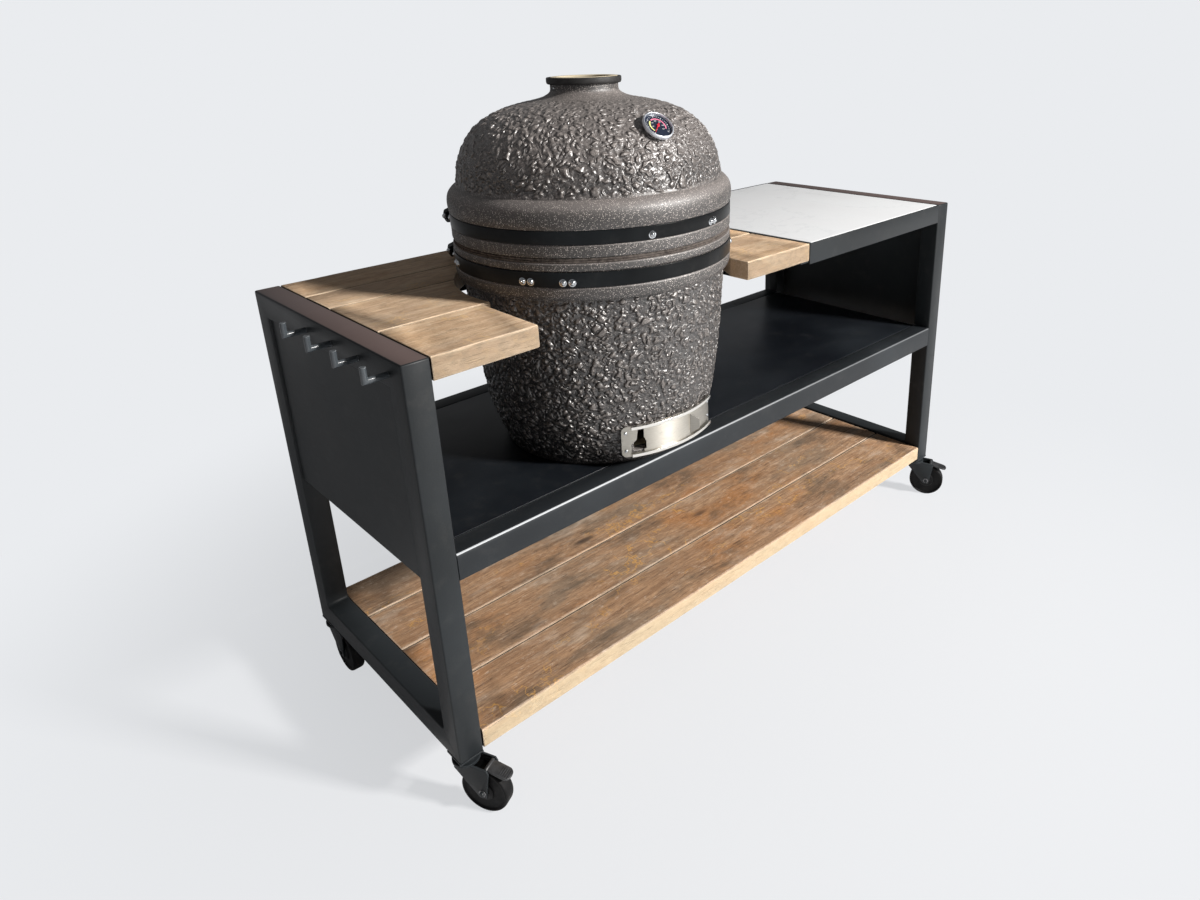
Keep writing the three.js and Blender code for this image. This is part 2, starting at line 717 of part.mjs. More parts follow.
// Ceramic lid: rim, band seat, collar, dome and neck, with the flue through it
const lidOutlineShares = [
  [1, 0.17], [1.008, 0.2], [1.01, 0.245], [1, 0.29], [0.972, 0.325], [0.944, 0.342],
  [0.937, 0.39], [0.926, 0.455], [0.904, 0.53], [0.868, 0.603], [0.82, 0.673], [0.747, 0.737],
  [0.657, 0.788], [0.554, 0.825], [0.443, 0.852], [0.346, 0.869], [0.29, 0.884], [0.253, 0.902],
];
const lidCavityShares = [
  [0.2, 0.84], [0.34, 0.8], [0.5, 0.775], [0.64, 0.727], [0.77, 0.61], [0.85, 0.46], [0.885, 0.2],
];
const neckFootShare = 0.92;
const lidBottom = baseHeight + gasketThickness + fitGap;
const lidBandBottom = lidBottom + lidBandAboveRim;
const neckTop = lidBottom + lidHeight;
const lidOutline = scaled(lidOutlineShares, ceramicRadius, lidHeight, lidBottom);
const lidOutside = turned([
  [ceramicInner, lidBottom], [ceramicRadius, lidBottom],
  [ceramicRadius, lidBandBottom - bandSeat], [bandSeatRadius, lidBandBottom - fitGap],
  [bandSeatRadius, lidBandBottom + lidBandWidth + fitGap], ...lidOutline,
  [neckRadius, lidBottom + neckFootShare * lidHeight], [neckRadius, neckTop],
  [flueRadius, neckTop], ...scaled(lidCavityShares, ceramicRadius, lidHeight, lidBottom),
]);

// The thermometer stands on the dome in front, its axis tilted up
const thermometerHeight = lidBottom + thermometerPlaceShare * lidHeight;
const footRadius = radiusAt(lidOutline, thermometerHeight);
const thermometerFoot = new THREE.Vector3(
  footRadius * Math.cos(thermometerAngle * degrees), footRadius * Math.sin(thermometerAngle * degrees),
  thermometerHeight);
const thermometerTurn = new THREE.Euler(
  (90 - thermometerTilt) * degrees, 0, (90 + thermometerAngle) * degrees, 'ZXY');
const thermometerAxis = new THREE.Vector3(0, 0, 1).applyEuler(thermometerTurn);
const stemHole = rod(
  thermometerFoot.clone().addScaledVector(thermometerAxis, -stemLength).toArray(),
  thermometerFoot.clone().addScaledVector(thermometerAxis, stemLength).toArray(),
  stemRadius + stemClearance);
add('lid_shell', cut(lidOutside, stemHole), ceramic, kamado);

// Gasket on the rim of the base
const gasketOuter = ceramicRadius - gasketInset;
add('rim_gasket', turned([
  [gasketOuter - gasketWidth, baseHeight], [gasketOuter, baseHeight],
  [gasketOuter, baseHeight + gasketThickness], [gasketOuter - gasketWidth, baseHeight + gasketThickness],
]), felt, kamado);

// Steel bands with their dome-headed bolts; angles run from +X, so -90 is the front
const bandInner = bandSeatRadius + fitGap;
const bandOuter = bandInner + bandThickness;

function band(bottom, width, boltAngles) {
  const ring = turned([
    [bandInner, bottom], [bandOuter, bottom], [bandOuter, bottom + width], [bandInner, bottom + width],
  ]);
  const height = bottom + boltHeightShare * width;
  const bolts = boltAngles.map((angle) => rod(
    [bandOuter - bandThickness / 2, 0, height], [bandOuter + boltHead, 0, height],
    boltRadius, boltSides).rotateZ(angle * degrees));
  return join(ring, ...bolts);
}
add('base_band', band(baseBandBottom, baseBandWidth, baseBoltAngles), blackCoat, kamado);
add('lid_band', band(lidBandBottom, lidBandWidth, lidBoltAngles), blackCoat, kamado);

// Chimney ring over the top of the neck
const chimneyInner = neckRadius + fitGap;
const chimneyBottom = neckTop + chimneyRingOverhang - chimneyRingHeight;
const chimneyTop = neckTop + chimneyRingOverhang;
const chimneyEdge = chimneyRingRadius - chimneyRingRound;
add('chimney_ring', turned([
  [chimneyInner, chimneyBottom], [chimneyEdge, chimneyBottom],
  [chimneyRingRadius, chimneyBottom + chimneyRingRound], [chimneyRingRadius, chimneyTop - chimneyRingRound],
  [chimneyEdge, chimneyTop], [neckRadius - chimneyRingLip, chimneyTop],
  [neckRadius - chimneyRingLip, neckTop], [chimneyInner, neckTop],
]), castIron, kamado);

// Rear hinge: a bracket with two eyes on each band, and a link that carries both rods
const rodY = ceramicRadius + rodBehindCeramic;
const lowerRodZ = baseBandBottom - rodBelowBand;
const upperRodZ = lidBandBottom - rodBelowBand;

function hingeBracket(bandBottom, bandWidth, rodZ) {
  const inner = bandOuter + fitGap;
  const outer = inner + bracketThickness;
  const low = bandBottom + bracketEdge;
  const high = bandBottom + bandWidth - bracketEdge;
  const armNear = eyeOffset - eyeThickness / 2;
  const armFar = eyeOffset + eyeThickness / 2;
  const spread = Math.asin(armFar / outer) / degrees;
  const armRoot = Math.sqrt(inner ** 2 - armNear ** 2) + fitGap;
  const eye = arc(rodY, rodZ, eyeRadius, eyeArcStart, eyeArcEnd, eyeArcSteps);
  const arm = [[armRoot, high], [armRoot, low], ...eye];
  const hole = rod([-armFar - cutOverrun, rodY, rodZ], [armFar + cutOverrun, rodY, rodZ],
    rodRadius + turningClearance, boreSides);
  return cut(join(
    curvedPlate(inner, outer, rearAngle - spread, rearAngle + spread, low, high),
    pullAlongX(arm, armNear, armFar), pullAlongX(arm, -armFar, -armNear),
  ), hole);
}
add('lid_hinge_bracket', hingeBracket(lidBandBottom, lidBandWidth, upperRodZ), blackCoat, kamado);
add('base_hinge_bracket', hingeBracket(baseBandBottom, baseBandWidth, lowerRodZ), blackCoat, kamado);

function hingeLink() {
  const rodHalf = eyeOffset + eyeThickness / 2 + fitGap;
  const rods = [lowerRodZ, upperRodZ].flatMap((z) => [
    rod([-rodHalf - rodHead, rodY, z], [rodHalf + rodHead, rodY, z], rodRadius),
    rod([-rodHalf - rodHead, rodY, z], [-rodHalf, rodY, z], rodHeadRadius),
    rod([rodHalf, rodY, z], [rodHalf + rodHead, rodY, z], rodHeadRadius),
  ]);
  const plate = [
    ...arc(rodY, lowerRodZ, linkRadius, 180, 360, linkArcSteps),
    ...arc(rodY, upperRodZ, linkRadius, 0, 180, linkArcSteps),
  ];
  const near = linkOffset - linkThickness / 2;
  const far = linkOffset + linkThickness / 2;
  return join(...rods, pullAlongX(plate, near, far), pullAlongX(plate, -far, -near));
}
add('hinge_link', hingeLink(), blackCoat, kamado);

// Draft door frame: a curved sheet with a window, between two grooved rails
const sheetOuter = draftFrameRadius + draftSheet;
const railOuter = sheetOuter + draftRailDepth;

function draftArc(inner, outer, middle, halfAngle, bottom, top) {
  return curvedPlate(inner, outer, middle - halfAngle, middle + halfAngle, bottom, top);
}
function frameArc(inner, outer, bottom, top) {
  return draftArc(inner, outer, draftFrameAngle, draftFrameHalfAngle, bottom, top);
}
add('draft_door_frame', cut(
  join(
    frameArc(draftFrameRadius, sheetOuter, draftFrameBottom, draftFrameTop),
    frameArc(draftFrameRadius, railOuter, draftFrameBottom, draftFrameBottom + draftRailHeight),
    frameArc(draftFrameRadius, railOuter, draftFrameTop - draftRailHeight, draftFrameTop),
    frameArc(railOuter - draftLip, railOuter, draftFrameBottom, windowBottom),
    frameArc(railOuter - draftLip, railOuter, windowTop, draftFrameTop),
  ),
  draftArc(draftFrameRadius - cutOverrun, sheetOuter + draftDoorClearance, draftWindowAngle,
    draftWindowHalfAngle, windowBottom, windowTop),
), stainless, kamado);

// Draft door: a curved sheet in the grooves, left a little open, with a tab bent out of its end
const doorInner = sheetOuter + draftDoorClearance;
const doorOuter = doorInner + draftSheet;
const doorAngle = draftWindowAngle + draftDoorRest;
const tabMiddle = (draftFrameBottom + draftFrameTop) / 2;
const tab = pullAlongY([
  [0, tabMiddle - tabRootHalf], [tabReach, tabMiddle - tabTipHalf],
  [tabReach, tabMiddle + tabTipHalf], [0, tabMiddle + tabRootHalf],
], -draftSheet, 0).rotateZ(tabLean * degrees).translate(doorInner + draftSheet / 2, 0, 0);
add('draft_door', join(
  draftArc(doorInner, doorOuter, doorAngle, draftDoorHalfAngle,
    draftFrameBottom + draftRailHeight + draftDoorClearance,
    draftFrameTop - draftRailHeight - draftDoorClearance),
  tab.rotateZ((doorAngle + draftDoorHalfAngle) * degrees),
), stainless, kamado);

// Thermometer: a case with a dished dial and a stem through the dome, and the needle in the dish
const dial = new THREE.Group();
dial.position.copy(thermometerFoot);
dial.rotation.copy(thermometerTurn);
kamado.add(dial);
const caseTop = thermometerStand + thermometerDepth;
const dialFace = caseTop - thermometerDish;
const caseEdge = thermometerRadius - thermometerRound;
const dishRadius = thermometerRadius - thermometerRim;
add('thermometer_case', turned([
  [0, -stemLength], [stemRadius, -stemLength + stemRadius], [stemRadius, fitGap],
  [thermometerCollar, fitGap], [thermometerCollar, thermometerStand], [caseEdge, thermometerStand],
  [thermometerRadius, thermometerStand + thermometerRound], [thermometerRadius, caseTop - thermometerRound],
  [caseEdge, caseTop], [dishRadius, caseTop], [dishRadius, dialFace], [0, dialFace],
], wheelSides), chrome, dial);
add('thermometer_needle', pull([
  [-needleHalfWidth, -needleTail], [needleHalfWidth, -needleTail], [needleHub, 0],
  [needleTipHalfWidth, needleLength], [-needleTipHalfWidth, needleLength], [-needleHub, 0],
], needleThickness, dialFace + fitGap).rotateZ(needleRest * degrees), dialRed, dial);

// Fire box on the floor of the base: a tapered ring with a ledge for the grate and a slot towards
// the draft door
const fireBoxBottom = baseCavityShares[0][1] * baseHeight;
const fireBoxTop = fireBoxBottom + fireBoxHeight;
const boxFloorBottom = fireBoxBottom + fireBoxFloorRise;
const grateSeat = boxFloorBottom + fireBoxFloor;
const fireBoxFootRadius = radiusAt(cavityOutline, fireBoxBottom) - fireBoxFootGap;
const fireBoxTopRadius = radiusAt(cavityOutline, fireBoxTop) - fireBoxTopGap;
const fireBoxInner = fireBoxFootRadius - fireBoxWall;
const airHoleRadius = fireBoxInner - fireBoxLedge;
const charcoalGrateRadius = fireBoxInner - charcoalGrateClearance;
const fireBox = turned([
  [airHoleRadius, boxFloorBottom], [fireBoxInner, boxFloorBottom], [fireBoxInner, fireBoxBottom],
  [fireBoxFootRadius, fireBoxBottom], [fireBoxTopRadius, fireBoxTop],
  [fireBoxTopRadius - fireBoxWall, fireBoxTop], [fireBoxInner, grateSeat], [airHoleRadius, grateSeat],
], ringSides);
const fireBoxSlot = block(
  fireBoxFootRadius / 2, fireBoxTopRadius, -fireBoxSlotWidth / 2, fireBoxSlotWidth / 2,
  fireBoxBottom - cutOverrun, fireBoxBottom + fireBoxSlotHeight).rotateZ(draftWindowAngle * degrees);
add('fire_box', cut(fireBox, fireBoxSlot), rawCeramic, kamado);

// Charcoal grate: a cast disc with radial slots
const charcoalTop = grateSeat + charcoalGrateThickness;
const charcoalSlots = Array.from({ length: charcoalSlotCount }, (_, i) => block(
  charcoalSlotInnerShare * charcoalGrateRadius, charcoalSlotOuterShare * charcoalGrateRadius,
  -charcoalSlotWidth / 2, charcoalSlotWidth / 2, grateSeat - cutOverrun, charcoalTop + cutOverrun,
).rotateZ(i * 360 / charcoalSlotCount * degrees));
add('charcoal_grate', cut(
  rod([0, 0, grateSeat], [0, 0, charcoalTop], charcoalGrateRadius, ringSides), ...charcoalSlots,
), castIron, kamado);

// Fire ring on the fire box, and the cooking grate on the fire ring
const ringTop = fireBoxTop + fireRingHeight;
const flareTop = fireBoxTop + fireRingFlareShare * fireRingHeight;
const fireRingOuter = radiusAt(cavityOutline, flareTop) - fireRingGap;
add('fire_ring', turned([
  [fireBoxTopRadius - fireBoxWall, fireBoxTop], [fireBoxTopRadius, fireBoxTop],
  [fireRingOuter, flareTop], [fireRingOuter, ringTop],
  [fireRingOuter - fireRingWall, ringTop], [fireRingOuter - fireRingWall, flareTop],
], ringSides), rawCeramic, kamado);

const cookingTop = ringTop + cookingGrateThickness;
const cookingGrateRadius = fireRingOuter - cookingGrateInset;
const openRadius = cookingGrateRadius - cookingGrateRim;
const gapWidth = cookingBarPitch - cookingBarWidth;
const gapRows = Math.floor(openRadius / cookingBarPitch);
const cookingGaps = [];
for (let row = -gapRows; row < gapRows; row += 1) {
  const y = row * cookingBarPitch + cookingBarWidth / 2;
  const reach = Math.sqrt(openRadius ** 2 - Math.max(Math.abs(y), Math.abs(y + gapWidth)) ** 2);
  for (const side of [-1, 1]) {
    const ends = [side * cookingBarWidth / 2, side * reach].sort((a, b) => a - b);
    cookingGaps.push(block(...ends, y, y + gapWidth, ringTop - cutOverrun, cookingTop + cutOverrun));
  }
}
add('cooking_grate', cut(
  rod([0, 0, ringTop], [0, 0, cookingTop], cookingGrateRadius, shellSides), ...cookingGaps,
), stainless, kamado);

// The origin is at the bottom centre of the whole table
table.updateMatrixWorld(true);
const extent = new THREE.Box3().setFromObject(table, true);
const centre = extent.getCenter(new THREE.Vector3());
const group = new THREE.Group();
group.add(table);
table.position.set(-centre.x, -centre.y, -extent.min.z);

export default group;
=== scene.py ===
"""Looks of the kamado grill table: detailed pieces, materials, light and camera round its CAD frame."""
import json
import math
import random

import bmesh
import bpy
from mathutils import Matrix, Vector, noise


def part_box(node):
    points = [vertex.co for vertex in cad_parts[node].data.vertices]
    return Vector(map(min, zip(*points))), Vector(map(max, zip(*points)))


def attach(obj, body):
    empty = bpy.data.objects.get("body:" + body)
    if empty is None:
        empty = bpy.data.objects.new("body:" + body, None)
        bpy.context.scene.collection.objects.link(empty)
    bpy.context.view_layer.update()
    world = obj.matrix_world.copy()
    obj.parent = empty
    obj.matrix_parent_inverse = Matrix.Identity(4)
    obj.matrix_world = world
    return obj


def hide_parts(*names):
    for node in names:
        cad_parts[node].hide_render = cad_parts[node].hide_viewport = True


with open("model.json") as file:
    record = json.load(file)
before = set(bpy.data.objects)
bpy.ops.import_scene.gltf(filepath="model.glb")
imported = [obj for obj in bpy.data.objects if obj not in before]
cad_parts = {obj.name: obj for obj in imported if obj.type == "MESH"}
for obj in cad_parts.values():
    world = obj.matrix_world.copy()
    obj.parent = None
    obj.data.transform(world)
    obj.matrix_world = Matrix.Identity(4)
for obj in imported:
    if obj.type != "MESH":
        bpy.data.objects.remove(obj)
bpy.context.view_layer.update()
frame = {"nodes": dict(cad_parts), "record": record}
nodes = frame["nodes"]
body_of = {n: body for body, names in frame["record"]["behaviour"]["bodies"].items() for n in names}

MM = 0.001
DECK_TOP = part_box("base_shell")[0].z
LID_LOW, LID_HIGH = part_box("lid_shell")
AXIS = (LID_LOW + LID_HIGH) / 2
FRAME_LOW, FRAME_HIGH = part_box("left_end_frame")[0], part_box("right_end_frame")[1]
CENTRE = (FRAME_LOW + FRAME_HIGH) / 2
SCALE = Matrix.Scale(MM, 4)
KAMADO = Matrix.Translation((AXIS.x, AXIS.y, DECK_TOP)) @ SCALE
TABLE = Matrix.Translation((CENTRE.x, CENTRE.y, 0)) @ SCALE


# ---------------------------------------------------------------- shapes
def turn(degrees, axis="Z"):
    return Matrix.Rotation(math.radians(degrees), 4, axis)


def shift(x=0.0, y=0.0, z=0.0):
    return Matrix.Translation((x, y, z))


def rounded(points, radius, steps=4, closed=True):
    """An outline with its corners rounded. radius is one length, or one for each corner."""
    count = len(points)
    radii = radius if hasattr(radius, "__len__") else [radius] * count
    result = []
    for i, point in enumerate(points):
        if not closed and i in (0, count - 1) or radii[i] <= 0:
            result.append(tuple(point))
            continue
        corner = Vector(point)
        ends = []
        for other in (Vector(points[i - 1]), Vector(points[(i + 1) % count])):
            side = other - corner
            ends.append(corner + side.normalized() * min(radii[i], side.length * 0.49))
        for step in range(steps + 1):
            s = step / steps
            result.append(tuple((1 - s) ** 2 * ends[0] + 2 * s * (1 - s) * corner + s ** 2 * ends[1]))
    return result


def spline(points, step):
    """Points along a smooth curve through the given ones, about step apart."""
    ends = [2 * Vector(points[0]) - Vector(points[1]), 2 * Vector(points[-1]) - Vector(points[-2])]
    knots = [ends[0], *map(Vector, points), ends[1]]
    result = []
    for a, b, c, d in zip(knots, knots[1:], knots[2:], knots[3:]):
        parts = max(1, round((c - b).length / step))
        for k in range(parts):
            t = k / parts
            result.append(tuple(0.5 * (
                2 * b + (c - a) * t + (2 * a - 5 * b + 4 * c - d) * t ** 2
                + (3 * b - a - 3 * c + d) * t ** 3)))
    return result + [tuple(points[-1])]


def divided(points, step):
    """An open outline with its straight sides divided into parts of about step."""
    result = []
    for a, b in zip(map(Vector, points), map(Vector, points[1:])):
        parts = max(1, round((b - a).length / step))
        result += [tuple(a.lerp(b, k / parts)) for k in range(parts)]
    return result + [tuple(points[-1])]


def circle(radius, sides, x=0.0, y=0.0, start=0.0, end=360.0):
    whole = abs(end - start) >= 360
    count = sides if whole else sides + 1
    return [(x + radius * math.cos(math.radians(start + (end - start) * k / sides)),
             y + radius * math.sin(math.radians(start + (end - start) * k / sides)))
            for k in range(count)]


class Shape:
    """Vertices and faces in millimetres, which become a piece that rides on a body."""

    def __init__(self, place):
        self.place, self.points, self.faces, self.paints = place, [], [], []

    def add(self, points, faces, paint=0, place=None):
        start = len(self.points)
        matrix = self.place @ place if place else self.place
        self.points += [matrix @ Vector(p) for p in points]
        self.faces += [[start + i for i in face] for face in faces]
        self.paints += [paint] * len(faces) if isinstance(paint, int) else paint
        return self

    def lathe(self, profile, columns=64, paint=0, place=None, closed=True):
        """Turns (radius, height) points round Z. Points on the axis become one vertex."""
        rows, points = [], []
        for radius, height in profile:
            if radius < 1e-6:
                rows.append([len(points)] * columns)
                points.append((0, 0, height))
                continue
            rows.append(range(len(points), len(points) + columns))
            points += [(radius * math.cos(math.tau * k / columns), radius * math.sin(math.tau * k / columns), height)
                       for k in range(columns)]
        faces = []
        last = len(rows) if closed and profile[0][0] > 1e-6 else len(rows) - 1
        for i in range(last):
            below, above = rows[i], rows[(i + 1) % len(rows)]
            for k in range(columns):
                n = (k + 1) % columns
                face = dict.fromkeys((below[k], below[n], above[n], above[k]))
                if len(face) > 2:
                    faces.append(list(face))
        return self.add(points, faces, paint, place)

    def tube(self, path, radius, sides=12, paint=0, place=None, looped=False):
        """A round rod along a path. radius is one length, or one for each point; a last radius of 0 closes it."""
        path = [Vector(p) for p in path]
        radii = radius if hasattr(radius, "__len__") else [radius] * len(path)
        count, points, normal = len(path), [], None
        for i, point in enumerate(path):
            before = path[i - 1] if looped or i else point
            after = path[(i + 1) % count] if looped or i < count - 1 else point
            tangent = (after - before).normalized()
            normal = normal or tangent.orthogonal()
            normal = (normal - tangent * normal.dot(tangent)).normalized()
            across = tangent.cross(normal)
            points += [point + radii[i] * (normal * math.cos(math.tau * k / sides)
                       + across * math.sin(math.tau * k / sides)) for k in range(sides)]
        rings = count if looped else count - 1
        faces = [(i * sides + k, i * sides + (k + 1) % sides,
                  (i + 1) % count * sides + (k + 1) % sides, (i + 1) % count * sides + k)
                 for i in range(rings) for k in range(sides)]
        if not looped:
            faces += [tuple(range(sides))[::-1], tuple((count - 1) * sides + k for k in range(sides))]
        return self.add(points, faces, paint, place)

    def prism(self, outline, low, high, paint=0, place=None, edge=0.0, steps=3):
        """An outline in XY pulled from low to high, with its top and bottom edges rounded."""
        count = len(outline)
        middle = sum((Vector(p) for p in outline), Vector((0, 0))) / count
        levels = [(low, 0.0), (high, 0.0)]
        if edge:
            bend = [(edge * (1 - math.cos(math.pi / 2 * k / steps)), edge * (1 - math.sin(math.pi / 2 * k / steps)))
                    for k in range(steps + 1)]
            levels = [(low + up, back) for up, back in bend] + [(high - up, back) for up, back in bend[::-1]]
        points = []
        for height, back in levels:
            for p in outline:
                flat = Vector(p)
                toward = middle - flat
                points.append((*(flat + toward.normalized() * back), height))
        faces = [(i * count + k, i * count + (k + 1) % count, (i + 1) * count + (k + 1) % count, (i + 1) * count + k)
                 for i in range(len(levels) - 1) for k in range(count)]
        faces += [tuple(range(count))[::-1], tuple((len(levels) - 1) * count + k for k in range(count))]
        return self.add(points, faces, paint, place)

    def curved(self, inner, outer, start, end, low, high, windows=(), paint=0, step=1.5):
        """A sheet bent round Z between two angles, with square windows (start, end, low, high)."""
        angles = sorted({start, end, *(a for w in windows for a in w[:2])})
        angles = [a + (b - a) * k / n for a, b in zip(angles, angles[1:])
                  for n in [max(1, math.ceil((b - a) / step))] for k in range(n)] + [end]
        heights = sorted({low, high, *(z for w in windows for z in w[2:])})
        solid = {(i, j) for i, (a, b) in enumerate(zip(angles, angles[1:]))
                 for j, (y, z) in enumerate(zip(heights, heights[1:]))
                 if not any(w[0] < (a + b) / 2 < w[1] and w[2] < (y + z) / 2 < w[3] for w in windows)}
        wide = len(angles)
        points = [(r * math.cos(math.radians(a)), r * math.sin(math.radians(a)), z)
                  for r in (outer, inner) for z in heights for a in angles]
        back = wide * len(heights)
        faces = []
        for i, j in sorted(solid):
            ring = [j * wide + i, j * wide + i + 1, (j + 1) * wide + i + 1, (j + 1) * wide + i]
            faces += [ring, [back + v for v in ring[::-1]]]
            sides = [((i, j - 1), 0, 1), ((i + 1, j), 1, 2), ((i, j + 1), 2, 3), ((i - 1, j), 3, 0)]
            faces += [[ring[b], ring[a], back + ring[a], back + ring[b]]
                      for other, a, b in sides if other not in solid]
        used = sorted({v for face in faces for v in face})
        places = {v: k for k, v in enumerate(used)}
        return self.add([points[v] for v in used], [[places[v] for v in face] for face in faces], paint)

    def sheet(self, outline, hole, inner, outer, rings=14, paint=0):
        """A sheet bent round Z between two radii. outline and hole are (angle, height) points, and both are seen
        whole from the middle of the hole."""
        flat = math.radians(outer)
        middle = sum((Vector((a * flat, z)) for a, z in hole), Vector((0, 0))) / len(hole)
        loops = [[Vector((a * flat, z)) - middle for a, z in loop] for loop in (hole, outline)]
        rays = sorted({round(math.atan2(v.y, v.x), 5) for loop in loops for v in loop}
                      | {round(-math.pi + math.tau * (k + 0.5) / 90, 5) for k in range(90)})

        def reach(loop, ray):
            along = Vector((math.cos(ray), math.sin(ray)))
            for a, b in zip(loop, loop[1:] + loop[:1]):
                side = b - a
                cross = along.x * side.y - along.y * side.x
                if abs(cross) < 1e-9:
                    continue
                far = (a.x * side.y - a.y * side.x) / cross
                share = (a.x * along.y - a.y * along.x) / cross
                if far > 0 and -1e-4 <= share <= 1 + 1e-4:
                    return along * far
            return along * min(v.length for v in loop)

        ends = [[reach(loop, ray) for ray in rays] for loop in loops]
        points, count = [], len(rays)
        for radius in (outer, inner):
            for ring in range(rings + 1):
                for near, far in zip(*ends):
                    spot = middle + near.lerp(far, ring / rings)
                    angle = math.radians(spot.x / flat)
                    points.append((radius * math.cos(angle), radius * math.sin(angle), spot.y))
        back = count * (rings + 1)
        faces = []
        for k in range(count):
            n = (k + 1) % count
            for ring in range(rings):
                a, b = ring * count, (ring + 1) * count
                faces += [(a + k, b + k, b + n, a + n), (back + a + n, back + b + n, back + b + k, back + a + k)]
            last = rings * count
            faces += [(k, n, back + n, back + k), (last + n, last + k, back + last + k, back + last + n)]
        return self.add(points, faces, paint)

    def mesh(self, name, sharp=35.0):
        data = bpy.data.meshes.new(name)
        data.from_pydata(self.points, [], self.faces)
        data.polygons.foreach_set("material_index", self.paints)
        data.shade_smooth()
        data.set_sharp_from_angle(angle=math.radians(sharp))
        return data

    def piece(self, name, body, slot, materials, replaces=(), sharp=35.0, bevel=0.0, edges=2):
        return placed(name, self.mesh(name, sharp), body, materials, replaces, bevel, edges)


def placed(name, data, body, materials, replaces=(), bevel=0.0, edges=2):
    """Adds a mesh as a piece on a body, with rounded edges where bevel gives their width in millimetres."""
    for material in materials if isinstance(materials, (list, tuple)) else [materials]:
        data.materials.append(material)
    item = bpy.data.objects.new(name, data)
    bpy.context.scene.collection.objects.link(item)
    if bevel:
        round_edges(item, bevel, edges)
    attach(item, body)
    if replaces:
        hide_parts(*replaces)
    return item


def round_edges(item, width, segments=2, limit=30.0):
    modifier = item.modifiers.new("Rounded edges", "BEVEL")
    modifier.width, modifier.segments = width * MM, segments
    modifier.limit_method, modifier.angle_limit = "ANGLE", math.radians(limit)
    modifier.harden_normals = True
    modifier.use_clamp_overlap = True


def softened(node, material, width, segments=3, limit=28.0, change=None, sharp=38.0, lengthwise=False):
    """A piece with a CAD node's shape and rounded edges, or only those along X, which stands for that node."""
    work = bmesh.new()
    work.from_mesh(nodes[node].data)
    bmesh.ops.remove_doubles(work, verts=work.verts, dist=2e-6)
    bmesh.ops.dissolve_limit(work, angle_limit=math.radians(1), verts=work.verts, edges=work.edges)
    if width:
        edges = [e for e in work.edges if e.is_manifold and e.calc_face_angle() > math.radians(limit)]
        if lengthwise:
            edges = [e for e in edges if abs((e.verts[0].co - e.verts[1].co).normalized().x) > 0.99]
        bmesh.ops.bevel(work, geom=edges, offset=width * MM, segments=segments, profile=0.5,
                        affect="EDGES", clamp_overlap=True)
    if change:
        change(work)
    data = bpy.data.meshes.new(node)
    work.to_mesh(data)
    work.free()
    data.shade_smooth()
    data.set_sharp_from_angle(angle=math.radians(sharp))
    return placed(node + "_piece", data, body_of[node], material, [node])


def dressed(node, material, width=0.6, segments=2):
    """Keeps a CAD node, gives it a material, and rounds its edges with modifiers."""
    item = nodes[node]
    for slot in item.material_slots:
        slot.link = "OBJECT"
        slot.material = material
    weld = item.modifiers.new("Joined faces", "WELD")
    weld.merge_threshold = 2e-6
    flat = item.modifiers.new("Flat faces", "DECIMATE")
    flat.decimate_type, flat.angle_limit = "DISSOLVE", math.radians(1)
    round_edges(item, width, segments)
    return item


# ---------------------------------------------------------------- materials
def rgb(red, green, blue):
    """An sRGB colour from 0 to 255 as the linear colour of a socket."""
    linear = [c / 12.92 if c <= 0.04045 else ((c + 0.055) / 1.055) ** 2.4
              for c in (red / 255, green / 255, blue / 255)]
    return (*linear, 1.0)


class Graph:
    """Short calls that add nodes to a node tree. Each returns the new node's output socket."""

    def __init__(self, tree):
        self.tree = tree

    def node(self, kind, inputs=None, output=0, **settings):
        item = self.tree.nodes.new(kind)
        for key, value in settings.items():
            setattr(item, key, value)
        for key, value in (inputs or {}).items():
            if isinstance(value, bpy.types.NodeSocket):
                self.tree.links.new(value, item.inputs[key])
            else:
                item.inputs[key].default_value = value
        return item.outputs[output]

    def math(self, operation, *values, clamp=False):
        return self.node("ShaderNodeMath", dict(enumerate(values)), operation=operation, use_clamp=clamp)

    def vector(self, operation, *values):
        return self.node("ShaderNodeVectorMath", dict(enumerate(values)), operation=operation)

    def scaled(self, vector, scale, offset=(0, 0, 0)):
        return self.node("ShaderNodeVectorMath", {0: vector, 1: scale, 2: offset}, operation="MULTIPLY_ADD")

    def noise(self, vector, scale, detail=2.0, roughness=0.5, output=0, distortion=0.0):
        return self.node("ShaderNodeTexNoise", {
            "Vector": vector, "Scale": scale, "Detail": detail, "Roughness": roughness,
            "Distortion": distortion}, output)

    def cells(self, vector, scale, feature="F1", output="Distance", randomness=1.0):
        return self.node("ShaderNodeTexVoronoi", {
            "Vector": vector, "Scale": scale, "Randomness": randomness}, output, feature=feature)

    def swayed(self, vector, scale, reach, detail=2.0):
        """The vector pushed about by noise, by up to reach."""
        push = self.vector("SUBTRACT", self.noise(vector, scale, detail, output="Color"), (0.5,) * 3)
        return self.node("ShaderNodeVectorMath", {0: push, 1: (2 * reach,) * 3, 2: vector},
                         operation="MULTIPLY_ADD")

    def span(self, value, low, high, out_low=0.0, out_high=1.0, smooth=True):
        return self.node("ShaderNodeMapRange", {
            "Value": value, "From Min": low, "From Max": high, "To Min": out_low, "To Max": out_high},
            interpolation_type="SMOOTHSTEP" if smooth else "LINEAR")

    def mix(self, factor, first, second, blend="MIX"):
        return self.node("ShaderNodeMix", {0: factor, 6: first, 7: second}, 2,
                         data_type="RGBA", blend_type=blend)

    def ramp(self, value, *stops):
        item = self.tree.nodes.new("ShaderNodeValToRGB")
        self.tree.links.new(value, item.inputs[0])
        ramp = item.color_ramp
        while len(ramp.elements) < len(stops):
            ramp.elements.new(0.5)
        for element, (position, colour) in zip(ramp.elements, stops):
            element.position, element.color = position, colour
        return item.outputs[0]


